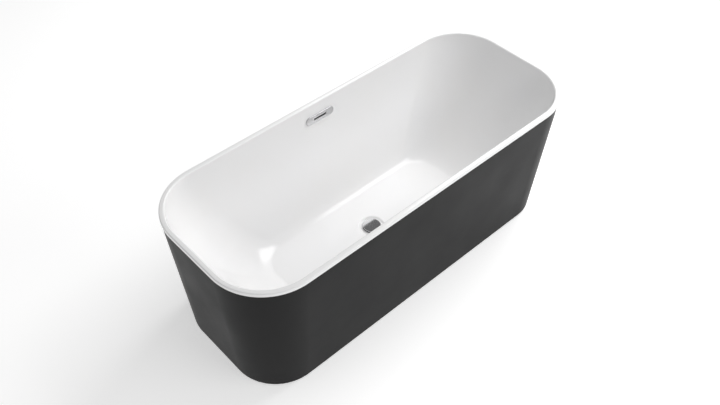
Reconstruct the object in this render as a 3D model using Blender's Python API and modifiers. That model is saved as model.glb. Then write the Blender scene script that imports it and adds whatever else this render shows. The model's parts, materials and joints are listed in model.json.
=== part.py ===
"""Freestanding double-ended bathtub, built as its real pieces.

A white inner shell hangs by its rim on a dark outer shell. Under its floor are a board, a welded
steel frame with four screw feet, a push-to-open waste with its trap, and a slim overflow.
Metres, +Z up. The origin is on the floor under the middle of the tub, +X runs along its length,
and the overflow is on the +Y side.
"""

import math

import bmesh
import bpy
from mathutils import Matrix, Vector

# --- overall size ------------------------------------------------------------------------------
LENGTH = 1.700
WIDTH = 0.700
HEIGHT = 0.615
RIM_RADIUS = 0.229
FLOOR_HEIGHT = 0.134
GAP = 0.0003  # between two pieces that touch
PAST = 0.010  # how far a cutter runs past what it cuts
CHAMFER = 0.001  # on turned and moulded edges
BIG_CHAMFER = 0.002
SMALL_CHAMFER = 0.0005

# --- inner shell -------------------------------------------------------------------------------
SHELL_WALL = 0.004
SKIRT_HEIGHT = 0.0155
RIM_OUTER_ROUND = 0.005
RIM_FLAT = 0.0085
RIM_INNER_ROUND = 0.008
WALL_SLOPE = 0.05  # run over drop, just under the rim
SIDE_BOW = 0.1395
END_BOW = 0.3445
SIDE_POWER = 2.0  # 2 is a quarter ellipse, less is a straighter slope
END_POWER = 1.5
FLOOR_RADIUS = 0.110
RECESS_RADIUS = 0.058
RECESS_SLOPE_RUN = 0.012
RECESS_DEPTH = 0.005

# --- outer shell -------------------------------------------------------------------------------
APRON_INSET = 0.0015
APRON_WALL = 0.004
APRON_FLANGE = 0.0145
APRON_CLEARANCE = 0.006  # above the floor
BASE_INSET_X = 0.045
BASE_INSET_Y = 0.0385
BASE_RADIUS = 0.190
ADHESIVE_BACK = 0.0008

# --- board and steel frame ---------------------------------------------------------------------
BOARD_THICKNESS = 0.015
BOARD_HOLE_RADIUS = 0.072
TUBE = 0.020
TUBE_WALL = 0.002
CROSS_WIDTH = 0.030
RAIL_FROM_BOARD_EDGE = 0.035
RAIL_FROM_BASE_END = 0.155
CROSS_FROM_BASE_END = 0.285
FOOT_FROM_RAIL = 0.072
CROSS_PAST_FOOT = 0.035
STRIP = 0.003
BRACKET_LEG = 0.050
BRACKET_FROM_FOOT = 0.014
STRAP_FROM_CORNER = 0.012
STRAP_UNDER_RAIL = 0.030
SCREW_FROM_RAIL_END = 0.330
SCREW_RADIUS = 0.0025
SCREW_HEAD_RADIUS = 0.005
SCREW_HEAD = 0.003
SCREW_BITE = 0.010

# --- screw feet --------------------------------------------------------------------------------
STUD_RADIUS = 0.006
THREAD_CLEARANCE = 0.0003
SLEEVE_RADIUS = 0.010
SLEEVE_LENGTH = 0.014
NUT_ACROSS_FLATS = 0.019
NUT_HEIGHT = 0.010
HEX_HEIGHT = 0.006
HEX_BITE = 0.001  # of the lower shank into the hexagon
STUD_ABOVE_CROSS = 0.018
STUD_END_RADIUS = 0.0075
PAD_RADIUS = 0.025
PAD_THICKNESS = 0.008
BOSS_RADIUS = 0.014
BOSS_TOP = 0.016
SOCKET_FLOOR = 0.006

# --- waste -------------------------------------------------------------------------------------
GASKET = 0.0015
GASKET_STEP = 0.001  # inside the lip's edge
LIP_RADIUS = 0.041
LIP = 0.0018
LIP_EDGE = 0.0008
THROAT_RADIUS = 0.027
THROAT_WALL = 0.0025
THROAT_LENGTH = 0.023
HUB_RADIUS = 0.0105
HUB_HEIGHT = 0.014
RIB = 0.0025
RIB_HEIGHT = 0.008
RIB_LIFT = 0.002  # above the throat's lower edge
CAP_RADIUS = 0.038
CAP = 0.0033
CAP_EDGE = 0.0012
SEAL_INNER = 0.0300
SEAL_OUTER = 0.0345
SEAL = 0.0022
STEM_HEAD_RADIUS = 0.012
STEM_HEAD = 0.0015
STEM_RADIUS = 0.005
STEM_ROD_RADIUS = 0.003
STEM_SHOULDER_DEPTH = 0.0045  # inside the cartridge
STEM_LIFT = 0.003  # of the rod's end above the spring's foot
CARTRIDGE_RADIUS = 0.008
CARTRIDGE_BORE = 0.0058
CARTRIDGE_COLLAR = 0.0022
COLLAR_STEP = 0.001  # inside the hub's edge
CARTRIDGE_LENGTH = 0.0285
CARTRIDGE_FLOOR = 0.0025
SPRING_RADIUS = 0.0046
SPRING_WIRE = 0.0005
SPRING_TURNS = 5
BODY_FLANGE = 0.0025
BODY_WALL = 0.0027
BODY_BOTTOM = 0.062
BODY_FLOOR = 0.003
ARM_HEIGHT = 0.085
ARM_RADIUS = 0.020
PIPE_WALL = 0.0022
INLET_STEP = 0.0018  # from the arm's bore up to the inlet's underside
INLET_REACH = 0.062
UNION_RADIUS = 0.029
UNION_LENGTH = 0.018
UNION_LIP = 0.003

# --- trap --------------------------------------------------------------------------------------
TRAP_X = 0.155
TRAP_RADIUS = 0.042
TRAP_WALL = 0.003
TRAP_TOP = 0.108
TRAP_BOTTOM = 0.034
DIP_RADIUS = 0.019
DIP_WALL = 0.003
DIP_BOTTOM = 0.018
SOCKET_WALL = 0.0032
SOCKET_STOP = 0.002  # from the arm's end to the trap's shell
SOCKET_REACH = 0.019
OUTLET_HEIGHT = 0.080
OUTLET_REACH = 0.065
CUP_TOP = 0.052
CUP_BOTTOM = 0.006
CUP_LEDGE = 0.0038
TRAP_SEAL = 0.003
CROSSING_EASE = 0.002  # by which the crossing pipe is slimmer than the dip pipe
OUTLET_WEIR = 0.006  # from the dip pipe to where the outlet's bore starts

# --- overflow ----------------------------------------------------------------------------------
OVERFLOW_DROP = 0.075  # below the rim
PLATE_LENGTH = 0.145
PLATE_HEIGHT = 0.037
PLATE = 0.0045
PLATE_EDGE = 0.0012
PLATE_SEAT = 0.0006  # the plate is flat and the wall is slightly hollow
SLOT_LENGTH = 0.066
SLOT_HEIGHT = 0.008
WALL_HOLE_LENGTH = 0.080
WALL_HOLE_HEIGHT = 0.024
COLLAR_LENGTH = 0.0754
COLLAR_HEIGHT = 0.0194
COLLAR_WALL = 0.002
COLLAR_DEPTH = 0.0085
FLANGE_LENGTH = 0.100
FLANGE_HEIGHT = 0.042
FLANGE = 0.002
CHAMBER_WIDTH = 0.084
CHAMBER_DEPTH = 0.0089
CHAMBER_WALL = 0.0015
CHAMBER_ABOVE = 0.014
CHAMBER_BELOW = 0.170
CHAMBER_FLOOR = 0.004
SPIGOT_RADIUS = 0.009
SPIGOT_WALL = 0.0022
SPIGOT_LENGTH = 0.030
SPIGOT_COLLAR = 0.002  # of the spigot's root inside the chamber
SPIGOT_DEPTH = 0.0078  # of its axis, behind the wall's inner face
HOSE_WALL = 0.0022
HOSE_FIT = 0.0007  # its bore has fewer sides than the spigots that it slips over
HOSE_START = 0.002  # below the chamber
HOSE_STRAIGHT = 0.015  # past the upper spigot
HOSE_END_Y = 0.040
HOSE_SHARES = (0.70, 0.45, 0.22)  # of its drop, where it lies midway between the shells
HOSE_BEND = 0.060
CLIP_WIDTH = 0.008
CLIP_THICKNESS = 0.0015
CLIP_FROM_END = 0.003

# --- smoothness --------------------------------------------------------------------------------
CORNER_STEPS = 8
WALL_STEPS = 14
ROUND_STEPS = 3
FINE_SIDES = 28
SIDES = 20
SMALL_SIDES = 12
CAP_SIDES = 48
NUT_SIDES = 12
PAD_SIDES = 24
SPRING_STEPS = 9  # a turn
ROUTE_STEPS = 2  # between two points of the hose's route
SHARP_ANGLE = math.radians(35)
MERGE = 0.000005

# --- places that follow ------------------------------------------------------------------------
ROUND_END = math.pi / 2 - math.atan(WALL_SLOPE)
WALL_INSET = RIM_OUTER_ROUND + RIM_FLAT + RIM_INNER_ROUND * math.sin(ROUND_END)
WALL_TOP = HEIGHT - RIM_INNER_ROUND * (1 - math.cos(ROUND_END))
WALL_DROP = WALL_TOP - FLOOR_HEIGHT
SKIRT_BOTTOM = HEIGHT - SKIRT_HEIGHT
APRON_TOP = SKIRT_BOTTOM - GAP
BASE_X = LENGTH / 2 - BASE_INSET_X
BASE_Y = WIDTH / 2 - BASE_INSET_Y

BOARD_TOP = FLOOR_HEIGHT - SHELL_WALL - GAP
BOARD_BOTTOM = BOARD_TOP - BOARD_THICKNESS
BOARD_X = LENGTH / 2 - WALL_INSET - WALL_SLOPE * WALL_DROP - END_BOW
BOARD_Y = WIDTH / 2 - WALL_INSET - WALL_SLOPE * WALL_DROP - SIDE_BOW
RAIL_Y = BOARD_Y - RAIL_FROM_BOARD_EDGE
RAIL_TOP = BOARD_BOTTOM - GAP
RAIL_BOTTOM = RAIL_TOP - TUBE
RAIL_END = BASE_X - RAIL_FROM_BASE_END
CROSS_TOP = RAIL_BOTTOM - GAP
CROSS_BOTTOM = CROSS_TOP - TUBE
CROSS_X = BASE_X - CROSS_FROM_BASE_END
FOOT_Y = RAIL_Y + FOOT_FROM_RAIL
CROSS_END = FOOT_Y + CROSS_PAST_FOOT
SCREW_X = RAIL_END - SCREW_FROM_RAIL_END

SLEEVE_TOP = CROSS_BOTTOM - GAP
SLEEVE_BOTTOM = SLEEVE_TOP - SLEEVE_LENGTH
NUT_TOP = SLEEVE_BOTTOM - GAP
STUD_TOP = CROSS_TOP + STUD_ABOVE_CROSS

RECESS = FLOOR_HEIGHT - RECESS_DEPTH
LIP_BOTTOM = RECESS + GASKET + 2 * GAP
LIP_TOP = LIP_BOTTOM + LIP
SEAL_TOP = LIP_TOP + GAP + SEAL
CAP_BOTTOM = SEAL_TOP + GAP
THROAT_BOTTOM = LIP_BOTTOM - THROAT_LENGTH
RIB_BOTTOM = THROAT_BOTTOM + RIB_LIFT
HUB_TOP = RIB_BOTTOM + HUB_HEIGHT
WASTE_HOLE = THROAT_RADIUS + GAP
CARTRIDGE_TOP = HUB_TOP + GAP + CARTRIDGE_COLLAR
CARTRIDGE_BOTTOM = CARTRIDGE_TOP - CARTRIDGE_LENGTH
SPRING_BOTTOM = CARTRIDGE_BOTTOM + CARTRIDGE_FLOOR + GAP
STEM_SHOULDER = CARTRIDGE_TOP - STEM_SHOULDER_DEPTH
SPRING_TOP = STEM_SHOULDER - GAP
BODY_TOP = RECESS - SHELL_WALL - GASKET - 2 * GAP
BODY_RADIUS = WASTE_HOLE + BODY_WALL

TRAP_FACE = TRAP_X - TRAP_RADIUS
SOCKET_RADIUS = ARM_RADIUS + GAP + SOCKET_WALL
SOCKET_START = TRAP_FACE - SOCKET_REACH
ARM_END = TRAP_FACE - SOCKET_STOP
OUTLET_END = TRAP_X + TRAP_RADIUS + OUTLET_REACH
TRAP_SEAL_TOP = TRAP_BOTTOM - GAP
TRAP_SEAL_BOTTOM = TRAP_SEAL_TOP - TRAP_SEAL
INLET_HEIGHT = ARM_HEIGHT - ARM_RADIUS + PIPE_WALL + INLET_STEP + SPIGOT_RADIUS

HOSE_INNER = SPIGOT_RADIUS + HOSE_FIT
HOSE_OUTER = HOSE_INNER + HOSE_WALL


# --- scene, materials and meshes ---------------------------------------------------------------
def clear_scene():
    for obj in list(bpy.data.objects):
        bpy.data.objects.remove(obj, do_unlink=True)


def new_collection(name):
    collection = bpy.data.collections.new(name)
    bpy.context.scene.collection.children.link(collection)
    return collection


def new_material(name, colour, roughness, metallic=0.0):
    material = bpy.data.materials.new(name)
    material.use_nodes = True
    shader = material.node_tree.nodes["Principled BSDF"]
    shader.inputs["Base Color"].default_value = (*colour, 1.0)
    shader.inputs["Roughness"].default_value = roughness
    shader.inputs["Metallic"].default_value = metallic
    return material


clear_scene()
TUB = new_collection("freestanding_bathtub")
CUTTERS = new_collection("cutters")


def add_object(name, mesh, colour=None, matrix=None):
    """A piece if it has a colour, or else a hidden cutter."""
    obj = bpy.data.objects.new(name, mesh)
    if colour:
        TUB.objects.link(obj)
        mesh.materials.append(new_material(name, *colour))
    else:
        CUTTERS.objects.link(obj)
        obj.hide_render = True
        obj.display_type = "WIRE"
    if matrix is not None:
        obj.matrix_world = matrix
    return obj


def mesh_from(name, shape):
    """A mesh from a bmesh whose faces are turned outwards."""
    bmesh.ops.recalc_face_normals(shape, faces=shape.faces)
    mesh = bpy.data.meshes.new(name)
    shape.to_mesh(mesh)
    shape.free()
    mesh.shade_smooth()
    mesh.set_sharp_from_angle(angle=SHARP_ANGLE)
    return mesh


def box(name, low, high, colour=None, matrix=None):
    shape = bmesh.new()
    bmesh.ops.create_cube(shape, size=1.0)
    size = Vector(high) - Vector(low)
    middle = (Vector(high) + Vector(low)) / 2
    bmesh.ops.scale(shape, vec=size, verts=shape.verts)
    bmesh.ops.translate(shape, vec=middle, verts=shape.verts)
    return add_object(name, mesh_from(name, shape), colour, matrix)


def rod(name, radius, start, end, colour=None, sides=SIDES, matrix=None):
    """A cylinder between two points."""
    start, end = Vector(start), Vector(end)
    turn = (end - start).to_track_quat("Z", "Y").to_matrix().to_4x4()
    shape = bmesh.new()
    bmesh.ops.create_cone(
        shape,
        cap_ends=True,
        segments=sides,
        radius1=radius,
        radius2=radius,
        depth=(end - start).length,
        matrix=Matrix.Translation((start + end) / 2) @ turn,
    )
    return add_object(name, mesh_from(name, shape), colour, matrix)


def turned(name, outline, colour=None, sides=SIDES, centre=(0, 0), ring=True):
    """An outline of (radius, height), down its outer side first, turned about a vertical axis."""
    shape = bmesh.new()
    points = [shape.verts.new((radius, 0, height)) for radius, height in outline]
    for first, second in zip(points, points[1:] + points[:1] * ring):
        shape.edges.new((first, second))
    mesh = bpy.data.meshes.new(name)
    shape.to_mesh(mesh)
    shape.free()
    obj = add_object(name, mesh, colour, Matrix.Translation((*centre, 0)))
    screw = obj.modifiers.new("turn", "SCREW")
    screw.axis = "Z"
    screw.steps = screw.render_steps = sides
    screw.use_merge_vertices = True
    screw.merge_threshold = MERGE
    screw.use_smooth_shade = False
    return obj


def washer(outer, inner, top, bottom):
    """The outline of a flat ring or a plain tube."""
    return [(outer, top), (outer, bottom), (inner, bottom), (inner, top)]


def pill(length, height, steps=8):
    """A slot outline in X and Z: a rectangle whose ends are half circles."""
    radius = height / 2
    points = []
    for side in (1, -1):
        for step in range(steps + 1):
            angle = -math.pi / 2 + math.pi * step / steps
            x = side * (length / 2 - radius + radius * math.cos(angle))
            points.append((x, side * radius * math.sin(angle)))
    return points


def slab(name, outline, near, far, colour=None, matrix=None):
    """An outline in X and Z, extruded along Y."""
    shape = bmesh.new()
    face = shape.faces.new([shape.verts.new((x, near, z)) for x, z in outline])
    grown = bmesh.ops.extrude_face_region(shape, geom=[face])["geom"]
    moved = [item for item in grown if isinstance(item, bmesh.types.BMVert)]
    bmesh.ops.translate(shape, vec=(0, far - near, 0), verts=moved)
    return add_object(name, mesh_from(name, shape), colour, matrix)


def hexagon(name, across_flats, bottom, top, centre, colour=None):
    radius = across_flats / 2 / math.cos(math.pi / 6)
    return rod(name, radius, (*centre, bottom), (*centre, top), colour, sides=6)


def boolean(obj, other, operation):
    modifier = obj.modifiers.new(other.name, "BOOLEAN")
    modifier.operation = operation
    modifier.solver = "EXACT"
    modifier.object = other
    return obj


def cut(obj, *others):
    for other in others:
        boolean(obj, other, "DIFFERENCE")
    return obj


def join(obj, *others):
    for other in others:
        boolean(obj, other, "UNION")
    return obj


def bevel(obj, width, segments=2, angle=60):
    modifier = obj.modifiers.new("edges", "BEVEL")
    modifier.width = width
    modifier.segments = segments
    modifier.limit_method = "ANGLE"
    modifier.angle_limit = math.radians(angle)
    return obj


# --- lofted shells -----------------------------------------------------------------------------
def rounded_ring(half_x, half_y, radius, height):
    """A rectangle with round corners, seen from above."""
    points = []
    for corner in range(4):
        side_x = 1 if corner in (0, 3) else -1
        side_y = 1 if corner in (0, 1) else -1
        for step in range(CORNER_STEPS + 1):
            angle = (corner + step / CORNER_STEPS) * math.pi / 2
            x = side_x * (half_x - radius) + radius * math.cos(angle)
            y = side_y * (half_y - radius) + radius * math.sin(angle)
            points.append((x, y, height))
    return points


def inset_ring(inset, height):
    """The rim's outline, moved in by the same amount all round."""
    return rounded_ring(LENGTH / 2 - inset, WIDTH / 2 - inset, RIM_RADIUS - inset, height)


def lofted(name, rings, colour, closed):
    """A skin through rings of equally many points. A closed one joins its last ring to its first."""
    shape = bmesh.new()
    loops = [[shape.verts.new(point) for point in ring] for ring in rings]
    for upper, lower in zip(loops, loops[1:] + loops[:1] * closed):
        for index, corner in enumerate(upper):
            before = index - 1
            shape.faces.new((upper[before], corner, lower[index], lower[before]))
    bmesh.ops.remove_doubles(shape, verts=shape.verts, dist=MERGE)
    return add_object(name, mesh_from(name, shape), colour)


def bow(fraction, power):
    """How much of its bow a wall has at a fraction of its drop."""
    return 1 - (1 - fraction**power) ** (1 / power)


def well_inset(height):
    """How far in from the rim's outer edge the well's long and end walls are at a height."""
    fraction = (WALL_TOP - height) / WALL_DROP
    slope = WALL_INSET + WALL_SLOPE * (WALL_TOP - height)
    side = slope + SIDE_BOW * bow(fraction, SIDE_POWER)
    end = slope + END_BOW * bow(fraction, END_POWER)
    return side, end


def well_ring(fraction):
    """The well's outline at a fraction of its drop."""
    height = WALL_TOP - WALL_DROP * fraction
    side, end = well_inset(height)
    top_radius = RIM_RADIUS - WALL_INSET
    radius = top_radius + (FLOOR_RADIUS - top_radius) * bow(fraction, SIDE_POWER)
    return rounded_ring(LENGTH / 2 - end, WIDTH / 2 - side, radius, height)


def apron_ring(height, inset=0.0):
    """The outer shell's outline at a height: straight rulings from the rim down to the base."""
    share = (APRON_TOP - height) / APRON_TOP
    half_x = (LENGTH / 2 - APRON_INSET) * (1 - share) + BASE_X * share
    half_y = (WIDTH / 2 - APRON_INSET) * (1 - share) + BASE_Y * share
    radius = (RIM_RADIUS - APRON_INSET) * (1 - share) + BASE_RADIUS * share
    return rounded_ring(half_x - inset, half_y - inset, radius - inset, height)


def apron_inner_y(height):
    return max(y for _, y, _ in apron_ring(height, APRON_WALL))


def apron_inner_x(height):
    return max(x for x, _, _ in apron_ring(height, APRON_WALL))


# --- the overflow's place on the long wall -----------------------------------------------------
def overflow_place():
    """X along the wall, Y into it and Z up it, from the middle of the overflow on its inner face."""
    height = HEIGHT - OVERFLOW_DROP
    here, above = well_inset(height)[0], well_inset(height + CHAMFER)[0]
    lean = math.atan((here - above) / CHAMFER)
    place = Matrix.Translation((0, WIDTH / 2 - here, height))
    return place @ Matrix.Rotation(-lean, 4, "X")


OVERFLOW = overflow_place()
WALL_HOLE = slab(
    "wall_hole", pill(WALL_HOLE_LENGTH, WALL_HOLE_HEIGHT), -2 * PAST, 2 * PAST, matrix=OVERFLOW
)


# --- colours: base colour, roughness, metallic -------------------------------------------------
WHITE = ((0.80, 0.80, 0.80), 0.12)
DARK = ((0.050, 0.050, 0.052), 0.45)
CHROME = ((0.78, 0.78, 0.80), 0.06, 1.0)
ZINC = ((0.55, 0.56, 0.58), 0.40, 1.0)
PAINTED = ((0.09, 0.09, 0.10), 0.50, 0.3)
RUBBER = ((0.03, 0.03, 0.03), 0.75)
PLASTIC = ((0.72, 0.72, 0.70), 0.40)
DARK_PLASTIC = ((0.04, 0.04, 0.04), 0.50)
BOARD = ((0.52, 0.38, 0.22), 0.80)
GLUE = ((0.62, 0.62, 0.60), 0.60)


# --- shells ------------------------------------------------------------------------------------
def make_basin():
    rings = [inset_ring(0, SKIRT_BOTTOM)]
    for step in range(ROUND_STEPS + 1):
        angle = math.pi / 2 * step / ROUND_STEPS
        inset = RIM_OUTER_ROUND * (1 - math.cos(angle))
        rings.append(inset_ring(inset, HEIGHT - RIM_OUTER_ROUND * (1 - math.sin(angle))))
    for step in range(ROUND_STEPS + 1):
        angle = ROUND_END * step / ROUND_STEPS
        inset = RIM_OUTER_ROUND + RIM_FLAT + RIM_INNER_ROUND * math.sin(angle)
        rings.append(inset_ring(inset, HEIGHT - RIM_INNER_ROUND * (1 - math.cos(angle))))
    for step in range(1, WALL_STEPS + 1):
        rings.append(well_ring(math.sin(math.pi / 2 * step / WALL_STEPS)))
    for radius, height in (
        (RECESS_RADIUS, FLOOR_HEIGHT),
        (RECESS_RADIUS - RECESS_SLOPE_RUN, RECESS),
        (WASTE_HOLE, RECESS),
    ):
        rings.append(rounded_ring(radius, radius, radius, height))
    basin = lofted("basin", rings, WHITE, closed=False)
    solid = basin.modifiers.new("wall", "SOLIDIFY")
    solid.thickness = SHELL_WALL
    solid.offset = -1
    solid.use_even_offset = True
    cut(basin, WALL_HOLE)


def make_apron():
    flange_bottom = APRON_TOP - APRON_WALL
    lofted(
        "apron",
        [
            apron_ring(APRON_TOP),
            apron_ring(APRON_CLEARANCE),
            apron_ring(APRON_CLEARANCE, APRON_WALL),
            apron_ring(flange_bottom, APRON_WALL),
            apron_ring(flange_bottom, APRON_FLANGE),
            apron_ring(APRON_TOP, APRON_FLANGE),
        ],
        DARK,
        closed=True,
    )


def make_rim_adhesive():
    outer = SHELL_WALL + GAP
    inner = RIM_OUTER_ROUND + RIM_FLAT + ADHESIVE_BACK
    bottom = APRON_TOP + GAP
    top = HEIGHT - SHELL_WALL - 2 * GAP
    lofted(
        "rim_adhesive",
        [
            inset_ring(outer, top - CHAMFER),
            inset_ring(outer, bottom),
            inset_ring(inner, bottom),
            inset_ring(inner, top),
            inset_ring(outer + CHAMFER, top),
        ],
        GLUE,
        closed=True,
    )


# --- board and frame ---------------------------------------------------------------------------
def each_corner():
    """The four feet, with their names and the signs of X and Y."""
    for name, side_x, side_y in (
        ("front_left", -1, -1),
        ("front_right", 1, -1),
        ("back_left", -1, 1),
        ("back_right", 1, 1),
    ):
        yield name, side_x, side_y


def make_board():
    board = box(
        "base_board", (-BOARD_X, -BOARD_Y, BOARD_BOTTOM), (BOARD_X, BOARD_Y, BOARD_TOP), BOARD
    )
    cut(
        board,
        rod("board_hole", BOARD_HOLE_RADIUS, (0, 0, BOARD_BOTTOM - PAST), (0, 0, BOARD_TOP + PAST)),
    )
    for name, side_x, side_y in each_corner():
        at = (side_x * SCREW_X, side_y * RAIL_Y)
        hole = rod(
            f"board_screw_hole_{name}",
            SCREW_RADIUS + GAP,
            (*at, RAIL_BOTTOM - PAST),
            (*at, BOARD_BOTTOM + SCREW_BITE + GAP),
            sides=SMALL_SIDES,
        )
        cut(board, hole)


def square_tube(name, low, high, along):
    """A steel tube with open ends. along is the index of its long axis."""
    tube = box(name, low, high, PAINTED)
    inner_low = [value + TUBE_WALL for value in low]
    inner_high = [value - TUBE_WALL for value in high]
    inner_low[along] = low[along] - PAST
    inner_high[along] = high[along] + PAST
    return cut(tube, box(f"{name}_bore", inner_low, inner_high))


def make_rails():
    for side, side_y in (("front", -1), ("back", 1)):
        middle = side_y * RAIL_Y
        rail = square_tube(
            f"frame_rail_{side}",
            (-RAIL_END, middle - TUBE / 2, RAIL_BOTTOM),
            (RAIL_END, middle + TUBE / 2, RAIL_TOP),
            0,
        )
        for name, side_x, corner_y in each_corner():
            if corner_y == side_y:
                cut(rail, bpy.data.objects[f"board_screw_hole_{name}"])


def make_cross_members():
    for side, side_x in (("left", -1), ("right", 1)):
        middle = side_x * CROSS_X
        member = square_tube(
            f"cross_member_{side}",
            (middle - CROSS_WIDTH / 2, -CROSS_END, CROSS_BOTTOM),
            (middle + CROSS_WIDTH / 2, CROSS_END, CROSS_TOP),
            1,
        )
        for end, side_y in (("front", -1), ("back", 1)):
            at = (middle, side_y * FOOT_Y)
            hole = rod(
                f"stud_hole_{end}_{side}",
                STUD_RADIUS + THREAD_CLEARANCE,
                (*at, CROSS_BOTTOM - PAST),
                (*at, CROSS_TOP + PAST),
                sides=SMALL_SIDES,
            )
            cut(member, hole)


def make_board_screws():
    for name, side_x, side_y in each_corner():
        head = RAIL_BOTTOM - GAP
        turned(
            f"board_screw_{name}",
            [
                (0, BOARD_BOTTOM + SCREW_BITE),
                (SCREW_RADIUS, BOARD_BOTTOM + SCREW_BITE - BIG_CHAMFER),
                (SCREW_RADIUS, head),
                (SCREW_HEAD_RADIUS, head),
                (SCREW_HEAD_RADIUS - CHAMFER, head - SCREW_HEAD),
                (0, head - SCREW_HEAD),
            ],
            ZINC,
            sides=SMALL_SIDES,
            centre=(side_x * SCREW_X, side_y * RAIL_Y),
            ring=False,
        )


def angle_strip(start, wall_low, wall_high, bottom, leg):
    """An L outline: a flat strip on the frame, and a leg that leans with the outer shell."""
    return [
        (start, bottom),
        (wall_low, bottom),
        (wall_high, bottom + leg),
        (wall_high - STRIP, bottom + leg),
        (wall_low - STRIP, bottom + STRIP),
        (start, bottom + STRIP),
    ]


def make_apron_brackets():
    bottom = CROSS_TOP + GAP
    for name, side_x, side_y in each_corner():
        outline = angle_strip(
            FOOT_Y + BRACKET_FROM_FOOT,
            apron_inner_y(bottom) - GAP,
            apron_inner_y(bottom + BRACKET_LEG) - GAP,
            bottom,
            BRACKET_LEG,
        )
        turn = Matrix.Rotation(side_y * math.pi / 2, 4, "Z")
        slab(
            f"apron_bracket_{name}",
            outline,
            -CROSS_WIDTH / 2,
            CROSS_WIDTH / 2,
            ZINC,
            Matrix.Translation((side_x * CROSS_X, 0, 0)) @ turn,
        )


def make_end_straps():
    bottom = RAIL_BOTTOM - GAP - STRIP
    for side, side_x in (("left", -1), ("right", 1)):
        outline = angle_strip(
            RAIL_END - STRAP_UNDER_RAIL,
            apron_inner_x(bottom) - GAP,
            apron_inner_x(bottom + BRACKET_LEG) - GAP,
            bottom,
            BRACKET_LEG,
        )
        turn = Matrix.Rotation(math.pi * (side_x < 0), 4, "Z")
        half = BASE_Y - BASE_RADIUS - STRAP_FROM_CORNER
        strap = slab(f"end_strap_{side}", outline, -half, half, ZINC, turn)
        across = box(
            f"strap_across_{side}",
            (RAIL_END - STRAP_UNDER_RAIL, -RAIL_Y - TUBE / 2, bottom),
            (RAIL_END, RAIL_Y + TUBE / 2, bottom + STRIP),
            matrix=turn,
        )
        join(strap, across)


# --- feet --------------------------------------------------------------------------------------
def make_feet():
    bore = STUD_RADIUS + THREAD_CLEARANCE
    hex_bottom = BOSS_TOP + GAP
    hex_top = hex_bottom + HEX_HEIGHT
    for name, side_x, side_y in each_corner():
        centre = (side_x * CROSS_X, side_y * FOOT_Y)
        turned(
            f"foot_sleeve_{name}",
            washer(SLEEVE_RADIUS, bore, SLEEVE_TOP, SLEEVE_BOTTOM),
            PAINTED,
            sides=SMALL_SIDES,
            centre=centre,
        )
        nut = hexagon(
            f"foot_nut_{name}", NUT_ACROSS_FLATS, NUT_TOP - NUT_HEIGHT, NUT_TOP, centre, ZINC
        )
        nut_bore = rod(
            f"nut_bore_{name}",
            bore,
            (*centre, NUT_TOP - NUT_HEIGHT - PAST),
            (*centre, NUT_TOP + PAST),
            sides=SMALL_SIDES,
        )
        cut(nut, nut_bore)
        stud = turned(
            f"foot_stud_{name}",
            [
                (0, STUD_TOP),
                (STUD_RADIUS - CHAMFER, STUD_TOP),
                (STUD_RADIUS, STUD_TOP - CHAMFER),
                (STUD_RADIUS, hex_top - HEX_BITE),
                (STUD_END_RADIUS, hex_top - HEX_BITE),
                (STUD_END_RADIUS, SOCKET_FLOOR + GAP),
                (0, SOCKET_FLOOR + GAP),
            ],
            ZINC,
            sides=SMALL_SIDES,
            centre=centre,
            ring=False,
        )
        collar = hexagon(f"stud_hex_{name}", NUT_ACROSS_FLATS, hex_bottom, hex_top, centre)
        join(stud, collar)
        turned(
            f"foot_pad_{name}",
            [
                (0, SOCKET_FLOOR),
                (STUD_END_RADIUS + GAP, SOCKET_FLOOR),
                (STUD_END_RADIUS + GAP, BOSS_TOP),
                (BOSS_RADIUS, BOSS_TOP),
                (BOSS_RADIUS, PAD_THICKNESS),
                (PAD_RADIUS - BIG_CHAMFER, PAD_THICKNESS),
                (PAD_RADIUS, PAD_THICKNESS - BIG_CHAMFER),
                (PAD_RADIUS, CHAMFER),
                (PAD_RADIUS - CHAMFER, 0),
                (0, 0),
            ],
            DARK_PLASTIC,
            sides=PAD_SIDES,
            centre=centre,
            ring=False,
        )


# --- waste -------------------------------------------------------------------------------------
def make_waste_flange():
    flange = turned(
        "drain_flange",
        [
            (LIP_RADIUS - LIP_EDGE, LIP_TOP),
            (LIP_RADIUS, LIP_TOP - LIP_EDGE),
            (LIP_RADIUS, LIP_BOTTOM),
            (THROAT_RADIUS, LIP_BOTTOM),
            (THROAT_RADIUS, THROAT_BOTTOM),
            (THROAT_RADIUS - THROAT_WALL, THROAT_BOTTOM),
            (THROAT_RADIUS - THROAT_WALL, LIP_TOP - CHAMFER),
            (THROAT_RADIUS - THROAT_WALL + CHAMFER, LIP_TOP),
        ],
        CHROME,
        sides=FINE_SIDES,
    )
    reach = THROAT_RADIUS - THROAT_WALL / 2
    rib_top = RIB_BOTTOM + RIB_HEIGHT
    along_x = box("rib_x", (-reach, -RIB / 2, RIB_BOTTOM), (reach, RIB / 2, rib_top))
    along_y = box("rib_y", (-RIB / 2, -reach, RIB_BOTTOM), (RIB / 2, reach, rib_top))
    hub = rod("hub", HUB_RADIUS, (0, 0, RIB_BOTTOM), (0, 0, HUB_TOP))
    bore = rod("hub_bore", CARTRIDGE_RADIUS + GAP, (0, 0, RIB_BOTTOM - PAST), (0, 0, HUB_TOP + PAST))
    join(flange, along_x, along_y, hub)
    cut(flange, bore)


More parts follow.
